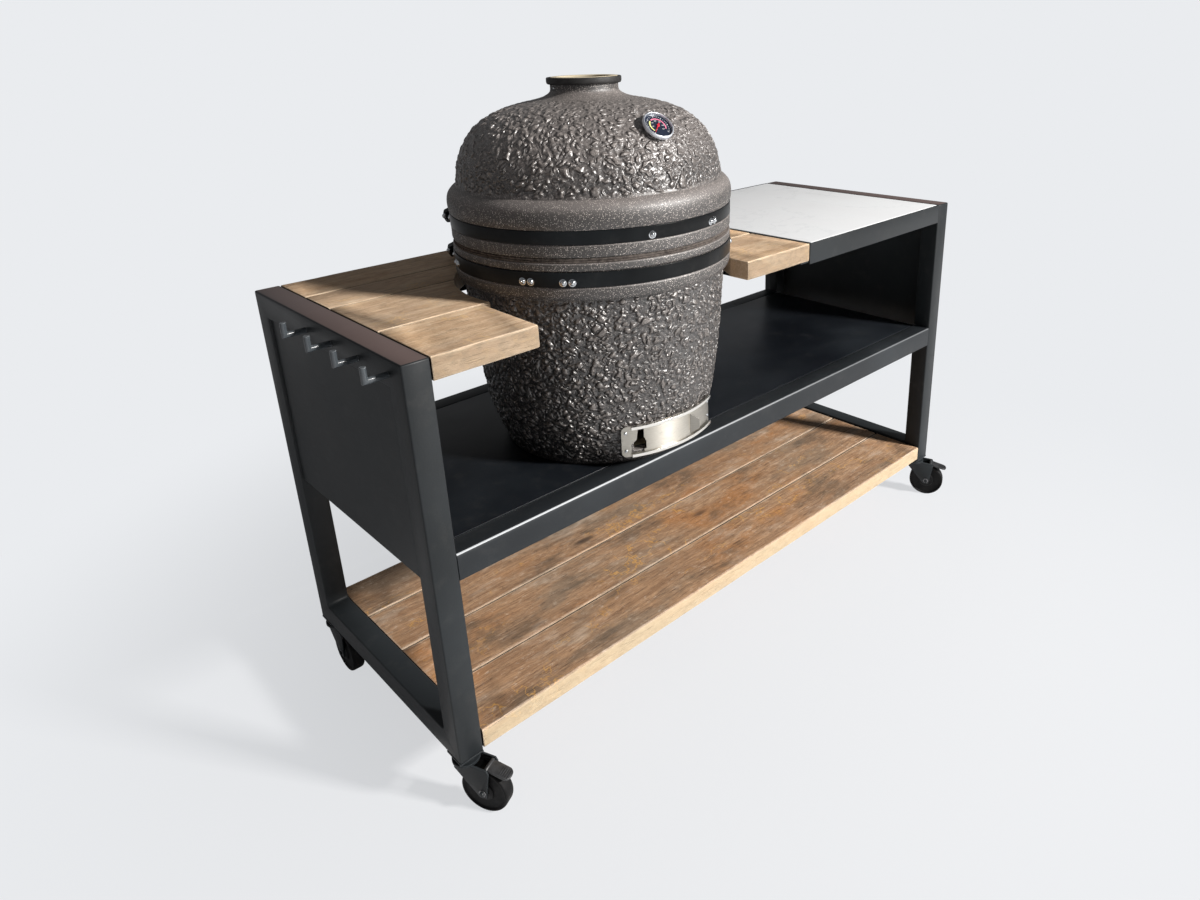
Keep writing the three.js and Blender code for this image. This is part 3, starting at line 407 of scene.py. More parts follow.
class Paint(Graph):
    """A material with a Principled shader and the node graph that feeds it."""

    def __init__(self, name, **sockets):
        self.material = bpy.data.materials.new(name)
        self.material.use_nodes = True
        super().__init__(self.material.node_tree)
        self.shader = self.tree.nodes["Principled BSDF"]
        self.set(**sockets)
        self.place = self.node("ShaderNodeTexCoord", output="Object")

    def set(self, **sockets):
        for key, value in sockets.items():
            socket = self.shader.inputs[key.replace("_", " ")]
            if isinstance(value, bpy.types.NodeSocket):
                self.tree.links.new(value, socket)
            else:
                socket.default_value = value
        return self.material

    def bump(self, height, distance, strength=1.0, under=None):
        inputs = {"Height": height, "Distance": distance, "Strength": strength}
        if under:
            inputs["Normal"] = under
        return self.node("ShaderNodeBump", inputs)

    def edge_mask(self, radius, low=0.02, high=0.25):
        """From 0 on flat parts to 1 on edges, from how far a rounded normal leans from the true one."""
        bent = self.node("ShaderNodeBevel", {"Radius": radius}, samples=4)
        true = self.node("ShaderNodeNewGeometry", output="Normal")
        lean = self.math("SUBTRACT", 1.0, self.node(
            "ShaderNodeVectorMath", {0: bent, 1: true}, 1, operation="DOT_PRODUCT"))
        return self.span(lean, low, high)


def coat(name, base, edge, roughness=0.42, grain=260.0, wear=0.6, painted_edge_highlight=False, gloss=0.22, painted_top_reflection=0.0):
    """Powder-coated steel: fine orange peel, faint dust and scuffs, and paler edges: worn paint on most coats, a
    painted highlight on the hooks and the front rail. It can also paint a warm reflection onto up-facing faces high
    up.
    """
    p = Paint(name, Metallic=0.0, Specular_IOR_Level=gloss)
    cloud = p.noise(p.place, 3.1, 4)
    dust = p.span(p.noise(p.place, 23.0, 6, 0.65), 0.5, 0.78)
    colour = p.mix(p.span(cloud, 0.35, 0.7), base, p_mix(base, rgb(90, 98, 104), 0.1))
    colour = p.mix(p.math("MULTIPLY", dust, 0.03), colour, rgb(150, 145, 138))
    tilt = p.node("ShaderNodeSeparateXYZ", {0: p.node("ShaderNodeNewGeometry", output="Normal")}, "Z")
    # Painted reflection: a warm tint on faces that point up, above 0.84 m.
    if painted_top_reflection:
        level = p.node("ShaderNodeSeparateXYZ", {0: p.place}, "Z")
        top_reflection_mask = p.math("MULTIPLY", p.span(tilt, 0.9, 0.99, 0.0, painted_top_reflection), p.span(level, 0.84, 0.9))
        colour = p.mix(top_reflection_mask, colour, rgb(134, 113, 108))
    # Painted highlight: a pale line on faces that lean up and forward, brightest at the left end and fading to the
    # right.
    if painted_edge_highlight:
        edge_mask = p.math("MULTIPLY", p.span(tilt, 0.15, 0.45), p.span(tilt, 0.99, 0.9))
        edge_mask = p.math("MULTIPLY", edge_mask, p.span(p.node("ShaderNodeSeparateXYZ", {0: p.place}), -0.6, 0.5, 1.0, 0.25))
    else:
        edge_mask = p.edge_mask(0.002)
    # Edge colour: worn paint on most coats; on the hooks and the front rail it is a painted highlight.
    colour = p.mix(p.math("MULTIPLY", edge_mask, wear), colour, edge)
    streak = p.noise(p.scaled(p.place, (2, 2, 60)), 9.0, 3)
    rough = p.math("ADD", p.span(cloud, 0.3, 0.7, roughness - 0.05, roughness + 0.06),
                   p.math("MULTIPLY", streak, 0.06))
    peel = p.noise(p.place, grain, 3, 0.55)
    return p.set(Base_Color=colour, Roughness=rough, Normal=p.bump(peel, 0.0006, 0.25))


def timber(name, seed, pale, deep, dark, stain, gold, weather, side, grey, warm, stains=0.45, tinted=0.5, rough=0.62):
    """A sawn plank along X: rings cut lengthwise, pores, knots, stains, golden figure, weathered edges, and painted
    shade in the gaps between planks.
    """
    p = Paint(name)
    spot = p.scaled(p.place, (1, 1, 1), (seed * 3.71, seed * 0.531, seed * 0.277))
    long = p.swayed(p.scaled(spot, (0.6, 1, 1)), 6.0, 0.014, 3)
    knots = p.cells(p.scaled(spot, (1.7, 6.0, 6.0)), 1.1)
    pull = p.span(knots, 0.04, 0.42, 0.022, 0.0)
    bent = p.vector("ADD", long, p.node("ShaderNodeCombineXYZ", {1: pull, 2: pull}))
    rings = p.noise(p.scaled(bent, (1.1, 24, 24)), 2.2, 6, 0.66)
    lines = p.noise(p.scaled(bent, (11.0, 210, 210)), 1.5, 5, 0.75)
    pores = p.span(p.noise(p.scaled(spot, (22, 560, 560)), 1.0, 2), 0.58, 0.7)
    mottle = p.noise(p.scaled(p.swayed(spot, 18.0, 0.01), (1, 1.8, 1.8)), 46.0, 6, 0.78)
    colour = p.ramp(rings, (0.28, deep), (0.46, p_mix(deep, pale, 0.5)), (0.58, pale), (0.76, p_mix(deep, pale, 0.35)))
    colour = p.mix(p.span(lines, 0.42, 0.64, 0.0, 0.85), colour, deep)
    tint = p.noise(p.scaled(p.swayed(spot, 4.0, 0.05), (0.8, 1.8, 1.8)), 3.6, 4, 0.6)
    colour = p.mix(p.span(tint, 0.36, 0.5, tinted, 0.0), colour, grey)
    colour = p.mix(p.span(tint, 0.52, 0.68, 0.0, tinted), colour, warm)
    colour = p.mix(p.span(mottle, 0.5, 0.68, 0.0, 0.5), colour, p_mix(deep, dark, 0.4))
    colour = p.mix(p.span(mottle, 0.46, 0.32, 0.0, 0.35), colour, weather)
    blotch = p.noise(p.scaled(p.swayed(spot, 7.0, 0.03), (0.9, 2.0, 2.0)), 5.0, 5, 0.66)
    colour = p.mix(p.span(blotch, 0.50, 0.68, 0.0, stains), colour, stain)
    vein = p.math("ABSOLUTE", p.math("SUBTRACT", p.noise(p.swayed(spot, 30.0, 0.012), 13.0, 4, 0.62), 0.5))
    where = p.span(p.noise(p.scaled(spot, (0.8, 2.5, 2.5)), 4.0, 2), 0.52, 0.66)
    colour = p.mix(p.math("MULTIPLY", p.span(vein, 0.022, 0.0, 0.0, 0.7), where), colour, gold)
    colour = p.mix(p.span(knots, 0.10, 0.04, 0.0, 0.8), colour, dark)
    colour = p.mix(p.math("MULTIPLY", pores, 0.45), colour, dark)
    bleach = p.noise(p.scaled(spot, (1.1, 3.2, 3.2)), 5.2, 5, 0.66)
    edges = p.math("MULTIPLY", p.edge_mask(0.007, 0.004, 0.11), p.span(mottle, 0.3, 0.75, 1.0, 0.7))
    edges = p.math("MAXIMUM", edges, p.span(bleach, 0.52, 0.78, 0.0, 0.55))
    colour = p.mix(p.math("MULTIPLY", edges, 0.85), colour, weather)
    true = p.node("ShaderNodeNewGeometry", output="Normal")
    front = p.node("ShaderNodeSeparateXYZ", {0: true}, "Y")
    colour = p.mix(p.math("MULTIPLY", p.span(front, -0.6, -0.9), p.span(mottle, 0.3, 0.7, 0.92, 0.66)), colour, side)
    normal = p.node("ShaderNodeSeparateXYZ", {0: true})
    ends = p.span(p.math("ABSOLUTE", normal), 0.75, 0.95)
    grain = p.noise(p.scaled(spot, (1, 110, 110)), 2.0, 4, 0.7)
    colour = p.mix(p.math("MULTIPLY", ends, p.span(grain, 0.35, 0.7, 0.2, 0.75)), colour, deep)
    # Painted shade: darker in the narrow gaps between planks, from ambient occlusion.
    painted_gap_shade = p.span(p.node("ShaderNodeAmbientOcclusion", {"Distance": 0.010}, "AO", samples=6), 0.4, 0.82)
    colour = p.mix(painted_gap_shade, rgb(26, 18, 13), colour)
    height = p.math("ADD", p.math("MULTIPLY", lines, 0.8), p.math("MULTIPLY", mottle, 0.6))
    height = p.math("SUBTRACT", height, p.math("MULTIPLY", pores, 0.6))
    return p.set(Base_Color=colour, Roughness=p.span(lines, 0.3, 0.7, rough - 0.08, rough + 0.14),
                 Specular_IOR_Level=0.3, Normal=p.bump(height, 0.0014, 0.7))


def p_mix(first, second, share):
    return tuple(a + (b - a) * share for a, b in zip(first, second))


def pebbles(g, position):
    """Height of the hammered glaze, from 0 in its creases to 1 on its lumps."""
    warped = g.swayed(g.scaled(position, (1, 1, 1.15)), 70.0, 0.004, 1.0)
    creases = []
    for scale, offset in ((54.0, 0.0), (70.0, 3.7)):
        wave = g.noise(g.scaled(warped, (1, 1, 1), (offset,) * 3), scale, 0.6)
        creases.append(g.span(g.math("ABSOLUTE", g.math("SUBTRACT", wave, 0.5)), 0.0, 0.16))
    lump = g.math("MULTIPLY", *creases)
    crown = g.span(g.noise(warped, 130.0, 0.5), 0.3, 0.7)
    return g.math("ADD", g.math("MULTIPLY", lump, 0.82), g.math("MULTIPLY", crown, 0.18))


def glaze():
    """Brown speckled glaze: painted shade in the creases, glossy on the lumps, with fine mineral flecks, and a painted
    sheen where it faces up.
    """
    p = Paint("Hammered glaze", Specular_IOR_Level=1.0, Coat_Roughness=0.2)
    relief = p.node("ShaderNodeAttribute", output="Fac", attribute_name="relief")
    height = pebbles(p, p.place)
    # Painted shade: the colour goes near black down in the creases.
    lumpy = p.ramp(height, (0.02, rgb(13, 11, 11)), (0.14, rgb(40, 36, 34)), (0.34, rgb(63, 58, 56)),
                   (0.85, rgb(90, 84, 80)))
    cloud = p.noise(p.place, 9.0, 4, 0.6)
    smooth = p.mix(p.span(cloud, 0.35, 0.65), rgb(40, 37, 35), rgb(52, 48, 46))
    colour = p.mix(relief, smooth, lumpy)
    tilt = p.node("ShaderNodeSeparateXYZ", {0: p.node("ShaderNodeNewGeometry", output="Normal")}, "Z")
    # Painted sheen, partly dust: lighter where the glaze faces up.
    colour = p.mix(p.span(tilt, -0.05, 0.75, 0.0, 0.36), colour, rgb(172, 164, 160))
    grit = p.noise(p.place, 640.0, 3, 0.75)
    colour = p.mix(p.span(grit, 0.46, 0.66, 0.0, 0.5), colour, rgb(26, 23, 23))
    fleck = p.span(p.cells(p.place, 480.0), 0.42, 0.2)
    rare = p.span(p.node("ShaderNodeSeparateColor", {0: p.cells(p.place, 480.0, output="Color")}), 0.3, 0.8)
    fleck = p.math("MULTIPLY", p.math("MULTIPLY", fleck, rare), p.math("SUBTRACT", 1.0, p.math("MULTIPLY", relief, 0.6)))
    colour = p.mix(p.math("MULTIPLY", fleck, 0.8), colour, rgb(226, 216, 208))
    rough = p.math("SUBTRACT", p.span(grit, 0.3, 0.7, 0.5, 0.6), p.math("MULTIPLY", fleck, 0.2))
    rough = p.math("SUBTRACT", rough, p.math("MULTIPLY", relief, 0.14))
    small = p.bump(p.noise(p.place, 420.0, 3, 0.6), 0.0006, 0.5)
    fine = p.bump(p.math("MULTIPLY", height, relief), 0.0046, 1.0, small)
    return p.set(Base_Color=colour, Roughness=rough, Normal=fine, Coat_Normal=fine,
                 Coat_Weight=p.math("MULTIPLY", relief, 0.25))


def metal(name, base, dull, roughness, along=(1, 1, 1), scale=60.0, depth=0.00004, spots=0.2, brushed=0.0):
    """Metal with brushing or fine scratches, stretched by along, and cloudy stains. brushed draws its sheen out
    up and down, across lines that run round the kamado."""
    p = Paint(name, Metallic=1.0)
    if brushed:
        outward = p.vector("SUBTRACT", p.place, (AXIS.x, AXIS.y, 0))
        p.set(Anisotropic=brushed, Anisotropic_Rotation=0.25, Tangent=p.vector("CROSS_PRODUCT", (0, 0, 1), outward))
    brush = p.noise(p.scaled(p.place, along), scale, 4, 0.6)
    cloud = p.noise(p.place, 32.0, 4, 0.6)
    colour = p.mix(p.span(cloud, 0.45, 0.75, 0.0, spots), base, dull)
    colour = p.mix(p.span(brush, 0.35, 0.7, 0.0, 0.3), colour, dull)
    rough = p.math("ADD", p.span(brush, 0.3, 0.7, roughness - 0.05, roughness + 0.07),
                   p.span(cloud, 0.4, 0.8, 0.0, 0.08))
    return p.set(Base_Color=colour, Roughness=rough, Normal=p.bump(brush, depth, 0.6))


def rough_solid(name, base, dark, scale, roughness=0.85, depth=0.0005, specular=0.3):
    """A matt material such as raw ceramic, felt, rubber or cast iron: mottled, with a grainy surface."""
    p = Paint(name, Specular_IOR_Level=specular)
    mottle = p.noise(p.place, scale, 5, 0.6)
    grain = p.noise(p.place, scale * 11, 3, 0.6)
    colour = p.mix(p.span(mottle, 0.35, 0.7), base, dark)
    colour = p.mix(p.span(grain, 0.55, 0.75, 0.0, 0.45), colour, dark)
    return p.set(Base_Color=colour, Roughness=p.span(mottle, 0.3, 0.7, roughness - 0.07, roughness + 0.06),
                 Normal=p.bump(grain, depth, 0.6))


def slab():
    """White composite stone: soft clouds, faint specks, and a low sheen."""
    p = Paint("White stone", Specular_IOR_Level=0.5)
    cloud = p.noise(p.swayed(p.place, 4.0, 0.05), 6.5, 5, 0.62)
    colour = p.mix(p.span(cloud, 0.35, 0.68), rgb(246, 248, 250), rgb(240, 243, 245))
    vein = p.span(p.math("ABSOLUTE", p.math("SUBTRACT", p.noise(p.place, 3.2, 6, 0.6), 0.5)), 0.0, 0.012, 0.2, 0.0)
    colour = p.mix(vein, colour, rgb(200, 205, 208))
    speck = p.span(p.noise(p.place, 520.0, 2), 0.66, 0.76, 0.0, 0.5)
    colour = p.mix(speck, colour, rgb(168, 172, 175))
    return p.set(Base_Color=colour, Roughness=p.span(cloud, 0.3, 0.7, 0.32, 0.46),
                 Normal=p.bump(p.noise(p.place, 240.0, 3), 0.0002, 0.3))


BLACK = coat("Black powder coat", rgb(31, 34, 36), rgb(84, 92, 98))
# The frame's top faces carry a painted warm reflection.
FRAME = coat("Frame powder coat with painted top reflection", rgb(31, 34, 36), rgb(84, 92, 98), painted_top_reflection=0.45)
# The hooks' pale edge colour is a painted highlight on their rounded edges and flat tops.
HOOKS = coat("Hook coat with painted edge highlights", rgb(64, 69, 73), rgb(214, 219, 223), 0.24, gloss=0.5)
# The front rail's pale edge colour is a painted highlight along its top front edge.
RAIL = coat("Front rail coat with painted edge highlight", rgb(30, 33, 36), rgb(196, 200, 204), 0.44, wear=0.8, painted_edge_highlight=True, gloss=0.25)
DECK = coat("Deck coat", rgb(15, 18, 23), rgb(52, 60, 68), 0.34)
BAND = coat("Band paint", rgb(6, 7, 8), rgb(58, 64, 70), 0.3, 180.0, gloss=0.12)
GLAZE = glaze()
RAW = rough_solid("Raw ceramic", rgb(206, 196, 172), rgb(180, 168, 143), 9.0, 0.86)
SOOT = rough_solid("Sooted ceramic", rgb(150, 138, 116), rgb(70, 62, 52), 14.0, 0.88)
FELT = rough_solid("Gasket felt", rgb(98, 91, 86), rgb(58, 53, 50), 140.0, 0.97, 0.0009, 0.1)
POLISHED = metal("Polished stainless", rgb(236, 234, 228), rgb(200, 197, 190), 0.16, (1, 1, 30), 45.0, 0.00003)
STAINLESS = metal("Brushed stainless", rgb(190, 186, 177), rgb(134, 129, 119), 0.32, (1, 1, 40), 45.0, 0.00007,
                  brushed=0.85)
STEEL = metal("Plain steel", rgb(198, 196, 190), rgb(120, 116, 110), 0.3, (1, 1, 1), 160.0)
CHROME = metal("Chrome", rgb(206, 209, 212), rgb(120, 124, 128), 0.1, (1, 1, 1), 220.0, 0.00002, 0.3)
BEZEL = metal("Satin bezel", rgb(234, 238, 244), rgb(184, 190, 198), 0.38, (1, 1, 1), 220.0, 0.00002)
RUBBER = rough_solid("Wheel rubber", rgb(10, 10, 11), rgb(6, 6, 7), 60.0, 0.62, 0.0003, 0.22)
IRON = rough_solid("Cast iron", rgb(36, 35, 34), rgb(20, 19, 19), 70.0, 0.6, 0.0006, 0.5)
GREY = rough_solid("Dark hub", rgb(12, 12, 13), rgb(8, 8, 9), 90.0, 0.55, 0.0002, 0.2)
PEDAL = rough_solid("Pedal coat", rgb(58, 59, 61), rgb(40, 41, 43), 90.0, 0.4, 0.0002, 0.5)
ZINC = metal("Zinc plate", rgb(120, 120, 122), rgb(74, 74, 76), 0.35, (1, 1, 1), 160.0)

TOP_TONES = dict(pale=rgb(230, 202, 168), deep=rgb(194, 160, 128), dark=rgb(84, 62, 46),
                 stain=rgb(150, 120, 94), gold=rgb(226, 190, 140), weather=rgb(242, 226, 200),
                 side=rgb(128, 112, 92), grey=rgb(190, 166, 142), warm=rgb(206, 166, 122))
SHELF_TONES = dict(pale=rgb(198, 160, 125), deep=rgb(150, 116, 88), dark=rgb(54, 46, 44),
                   stain=rgb(88, 80, 70), gold=rgb(222, 168, 92), weather=rgb(240, 222, 202),
                   side=rgb(194, 176, 146), grey=rgb(142, 126, 108), warm=rgb(190, 132, 80))


# ---------------------------------------------------------------- table
for node in ("left_side_panel", "right_side_panel", "deck_bearer_left", "deck_bearer_right",
             "shelf_tie_bar_1", "shelf_tie_bar_2", "worktop_frame"):
    dressed(node, BLACK, 0.7)
for node in ("left_end_frame", "right_end_frame", "rear_middle_rail"):
    softened(node, FRAME, 0.0, sharp=50.0)
softened("front_middle_rail", RAIL, 1.5, 4, sharp=50.0, lengthwise=True)
softened("stone_tray", BLACK, 0.8)
softened("deck_plate", DECK, 0.9)
softened("stone_slab", slab(), 1.2, 3, 20.0)


def aged(seed, step, wear):
    """Cuts a plank across every step metres and moves its skin in and out by up to wear."""
    def change(work):
        low = min(v.co.x for v in work.verts)
        high = max(v.co.x for v in work.verts)
        cuts = int((high - low) / step)
        for k in range(1, cuts):
            bmesh.ops.bisect_plane(work, geom=[*work.verts, *work.edges, *work.faces], dist=1e-6,
                                   plane_co=(low + (high - low) * k / cuts, 0, 0), plane_no=(1, 0, 0))
        work.normal_update()
        pushes = {}
        for v in work.verts:
            where = Vector((v.co.x * 9, v.co.y * 34, v.co.z * 34)) + Vector((seed, seed * 2.3, 0))
            pushes[v] = v.normal * (-wear * (0.5 + 0.5 * noise.noise(where)) * abs(noise.noise(where * 2.7)) * 2)
        for v, push in pushes.items():
            v.co += push
    return change


PLANKS = ["left_front_plank", "left_second_plank", "left_third_plank", "right_front_plank",
          "right_second_plank", "right_third_plank", "rear_plank"]
SHELVES = ["shelf_front_plank", "shelf_second_plank", "shelf_third_plank", "shelf_rear_plank"]
for number, node in enumerate(PLANKS):
    wood = timber(f"Worktop plank {number + 1}", 11.5 + number * 2.37, **TOP_TONES, stains=0.12, tinted=0.3)
    softened(node, wood, 3.2, 3, change=aged(number * 7.1, 0.035, 0.0010))
for number, node in enumerate(SHELVES):
    wood = timber(f"Shelf plank {number + 1}", 20.0 + number * 1.71, **SHELF_TONES, stains=0.6, tinted=0.65)
    softened(node, wood, 4.4, 3, change=aged(50 + number * 7.1, 0.05, 0.0010))

# Utensil hooks: round rods with a mitred corner and a flat top
HOOK_HEIGHT, HOOK_FIRST, HOOK_SPACING, HOOK_X, ROD, MITRE = 896.5, -262.0, 107.5, -873.0, 5.5, 1.0
for number in range(4):
    y = HOOK_FIRST + HOOK_SPACING * number
    rings = []
    for start, tip, high, radius in ((-834.6, None, 0, ROD), (HOOK_X, MITRE, 0, ROD), (HOOK_X, 0, MITRE, ROD),
                                     (HOOK_X, 0, 23.5, ROD), (HOOK_X, 0, 24.3, ROD - 0.7)):
        for k in range(24):
            across, along = radius * math.cos(math.tau * k / 24), radius * math.sin(math.tau * k / 24)
            if tip is None:
                rings.append((start, y + along, HOOK_HEIGHT + across))
            elif high > MITRE:
                rings.append((start + across, y + along, HOOK_HEIGHT + high))
            else:
                rings.append((start + across + tip, y + along, HOOK_HEIGHT + across + high))
    faces = [(24 * i + k, 24 * i + (k + 1) % 24, 24 * (i + 1) + (k + 1) % 24, 24 * (i + 1) + k)
             for i in range(4) for k in range(24)]
    faces += [tuple(range(24))[::-1], tuple(range(96, 120))]
    Shape(TABLE).add(rings, faces).piece(
        f"hook_{number + 1}", "table", "black_coat", HOOKS, [f"utensil_hook_{number + 1}"])


# ---------------------------------------------------------------- casters
def domed(radius, height, sink=2.0, steps=6):
    """Profile of a domed head, standing on 0."""
    return [(radius, -sink), *[(radius * math.cos(math.pi / 2 * k / steps), height * math.sin(math.pi / 2 * k / steps))
            for k in range(steps)], (0, height)]


def hexagon(radius):
    return circle(radius, 6)


WHEEL = rounded([(20.5, -13), (22, -10.5), (43, -10.5), (45, -14), (48.5, -13.2), (50, -9.5), (50, 9.5),
                 (48.5, 13.2), (45, 14), (43, 10.5), (22, 10.5), (20.5, 13)], 1.6, 3)
HUB = rounded([(5.4, -15.5), (14, -15.5), (20.4, -14), (20.4, 14), (14, 15.5), (5.4, 15.5)], 1.0, 2)
for side_x, side_y, name in ((-1, -1, "front_left"), (1, -1, "front_right"), (-1, 1, "rear_left"), (1, 1, "rear_right")):
    front = side_y < 0
    corner = TABLE @ shift(side_x * 810, side_y * 286)
    swivel = corner @ turn(-64 if front else -90)
    hub = swivel @ shift(40, 0, 50) @ turn(90, "X")
    softened(f"caster_mount_{name}", BLACK, 0.8, 2)
    softened(f"caster_fork_{name}", BLACK, 0.7, 2)
    wheel = Shape(hub).lathe(WHEEL, 72, 0)
    wheel.lathe(HUB, 48, 1)
    for face in (-1, 1):
        wheel.lathe(domed(3.2, 1.0, 1.0), 14, 1, turn(90 * (1 - face), "X") @ shift(11, 0, 15.4))
        wheel.lathe(domed(3.2, 1.0, 1.0), 14, 1, turn(90 * (1 - face), "X") @ shift(-11, 0, 15.4))
    wheel.piece(f"wheel_{name}_piece", f"wheel_{name}", "rubber", [RUBBER, GREY], [f"caster_wheel_{name}"])
    nuts = Shape(hub)
    for face in (0, 180):
        nuts.prism(hexagon(8.2), 18.1, 20.2, 0, turn(face, "X"), 0.6)
        nuts.lathe(domed(4.4, 2.6, 0.4), 24, 0, turn(face, "X") @ shift(0, 0, 20.0))
    nuts.piece(f"axle_nuts_{name}", f"fork_{name}", "chrome", ZINC)
    plate = Shape(corner)
    for x in (-18, 18):
        for y in (-18, 18):
            plate.prism(hexagon(4.2), 117.4, 121.05, 0, shift(x, y), 0.5)
            plate.lathe([(6.2, 120.2), (6.2, 121.05), (0, 121.05), (0, 120.2)], 20, 0, shift(x, y), False)
    plate.piece(f"mount_bolts_{name}", "table", "chrome", ZINC)
    if front:
        lever = swivel @ shift(50, 0, 105)
        half = 14.7
        foot = [(-3.2, -half + 3), (6, -half), (40, -half), (47, -half + 5), (49, 0), (47, half - 5), (40, half),
                (6, half), (-3.2, half - 3)]
        work = Shape(lever)
        slope = math.degrees(math.atan2(12, 47))
        work.prism(rounded(foot, 4.0, 4), -2.0, 2.0, 0, turn(slope, "Y"), 1.3)
        for k in range(5):
            work.prism(rounded([(26 + 4.2 * k, -10), (28 + 4.2 * k, -10), (28 + 4.2 * k, 10), (26 + 4.2 * k, 10)], 0.9, 3),
                       1.8, 3.1, 0, turn(slope, "Y"), 0.5)
        work.tube([(0, -half, 0), (0, -half + 1, 0), (0, half - 1, 0), (0, half, 0)], [3.4, 4, 4, 3.4], 20)
        work.piece(f"pedal_{name}_piece", f"pedal_{name}", "cast_iron", PEDAL, [f"brake_pedal_{name}"])

# ---------------------------------------------------------------- ceramic shells
COLUMNS = 520
GLAZED, BARE = 0, 1


def shell(name, rows, body, node, window=None):
    """A ceramic shell from rows of (radius, height, relief, material), with lumps pushed into its skin.
    window is (start angle, end angle, low, high) of a square hole through the wall."""
    points, faces, paints, relief, index = [], [], [], [], []
    for radius, height, lumps, _ in rows:
        if radius < 1e-6:
            index.append([len(points)] * COLUMNS)
            points.append((0, 0, height))
            relief.append(0.0)
            continue
        index.append(list(range(len(points), len(points) + COLUMNS)))
        points += [(radius * math.cos(math.tau * k / COLUMNS), radius * math.sin(math.tau * k / COLUMNS), height)
                   for k in range(COLUMNS)]
        relief += [lumps] * COLUMNS
    spans = []
    if window:
        first, last = (round(a % 360 / 360 * COLUMNS) for a in window[:2])
        inside = [i for i, row in enumerate(rows) if window[2] <= row[1] <= window[3] and row[0] > 150]
        for group in (lambda r: r[3] == GLAZED, lambda r: r[3] == BARE):
            spans.append([i for i in inside if group(rows[i])])
        spans[1] = spans[1][::-1]
    holes = {(i, k) for one in spans for i in range(min(one), max(one)) for k in range(first, last)}
    closed = rows[0][0] > 1e-6
    for i in range(len(rows) if closed else len(rows) - 1):
        below, above = index[i], index[(i + 1) % len(rows)]
        for k in range(COLUMNS):
            if (i, k) in holes:
                continue
            n = (k + 1) % COLUMNS
            face = list(dict.fromkeys((below[k], below[n], above[n], above[k])))
            if len(face) > 2:
                faces.append(face)
                paints.append(rows[i][3])
    if window:
        outer, inner = spans
        for a, b, c, d in zip(outer, outer[1:], inner, inner[1:]):
            for k, flip in ((first, False), (last, True)):
                face = [index[a][k], index[b][k], index[d][k], index[c][k]]
                faces.append(face[::-1] if flip else face)
                paints.append(BARE)
        for a, c, flip in ((outer[0], inner[0], True), (outer[-1], inner[-1], False)):
            for k in range(first, last):
                face = [index[a][k], index[a][k + 1], index[c][k + 1], index[c][k]]
                faces.append(face[::-1] if flip else face)
                paints.append(BARE)
    shape = Shape(KAMADO).add(points, faces, paints)
    data = shape.mesh(name, 40.0)
    attribute = data.attributes.new("relief", "FLOAT", "POINT")
    attribute.data.foreach_set("value", relief)
    item = placed(name, data, body, [GLAZE, RAW], [node])
    modifier = item.modifiers.new("Hammered skin", "NODES")
    modifier.node_group = hammered()
    return item


def hammered():
    """Geometry nodes that sink the creases of the glaze into the surface."""
    if "Hammered skin" in bpy.data.node_groups:
        return bpy.data.node_groups["Hammered skin"]
    tree = bpy.data.node_groups.new("Hammered skin", "GeometryNodeTree")
    tree.interface.new_socket("Geometry", in_out="INPUT", socket_type="NodeSocketGeometry")
    tree.interface.new_socket("Geometry", in_out="OUTPUT", socket_type="NodeSocketGeometry")
    g = Graph(tree)
    source = g.node("NodeGroupInput")
    height = pebbles(g, g.node("GeometryNodeInputPosition"))
    relief = g.node("GeometryNodeInputNamedAttribute", {"Name": "relief"}, "Attribute", data_type="FLOAT")
    push = g.math("MULTIPLY", g.math("SUBTRACT", height, 0.85), relief)
    offset = g.node("ShaderNodeVectorMath", {
        0: g.node("GeometryNodeInputNormal"), "Scale": g.math("MULTIPLY", push, CREASE)}, operation="SCALE")
    moved = g.node("GeometryNodeSetPosition", {"Geometry": source, "Offset": offset})
    tree.links.new(moved, g.tree.nodes.new("NodeGroupOutput").inputs[0])
    return tree


CREASE = 0.0026
ROW = 2.7


def fade(z, low, high, soft=9.0):
    """From 0 outside two heights to 1 well between them."""
    near = min(z - low, high - z) / soft
    return max(0.0, min(1.0, near)) ** 2 * (3 - 2 * max(0.0, min(1.0, near)))


base_body = spline([(219.6, 7), (222, 13.35), (236.4, 51.2), (247.4, 89), (254.3, 129), (260.7, 178), (267, 235.9),
                    (271.1, 289.3), (274.3, 344.9), (275.4, 370.3)], ROW)
WINDOW_LOW, WINDOW_HIGH = 42.0, 85.0
for level in (WINDOW_LOW, WINDOW_HIGH):
    near = min(range(len(base_body)), key=lambda i: abs(base_body[i][1] - level))
    base_body[near] = (base_body[near][0], level)
foot = rounded([(206, 0), (215.9, 0), (219.6, 7)], [0, 6, 0], 4, False)
collar = rounded([(275.4, 370.5), (284.1, 373.5), (289, 382.5), (289, 397.5), (286.5, 400.2), (286.5, 428.8),
                  (289, 431), (289, 445), (261, 445), (256.1, 378.3)],
                 [0, 3, 6, 2.2, 1, 1, 1.6, 3.5, 3, 0], 4, False)
window_levels = [p[1] for p in base_body if WINDOW_LOW <= p[1] <= WINDOW_HIGH]
cavity = [(256.1, 378.3), (250, 298), (237, 178), (224, 89)]
inner_low = [(224, 89), (208, 44.5), (199.4, 29.8)]


def radius_at(points, height):
    for (r0, z0), (r1, z1) in zip(points, points[1:]):
        if min(z0, z1) <= height <= max(z0, z1):
            return r0 + (r1 - r0) * (height - z0) / (z1 - z0)
    raise ValueError(height)


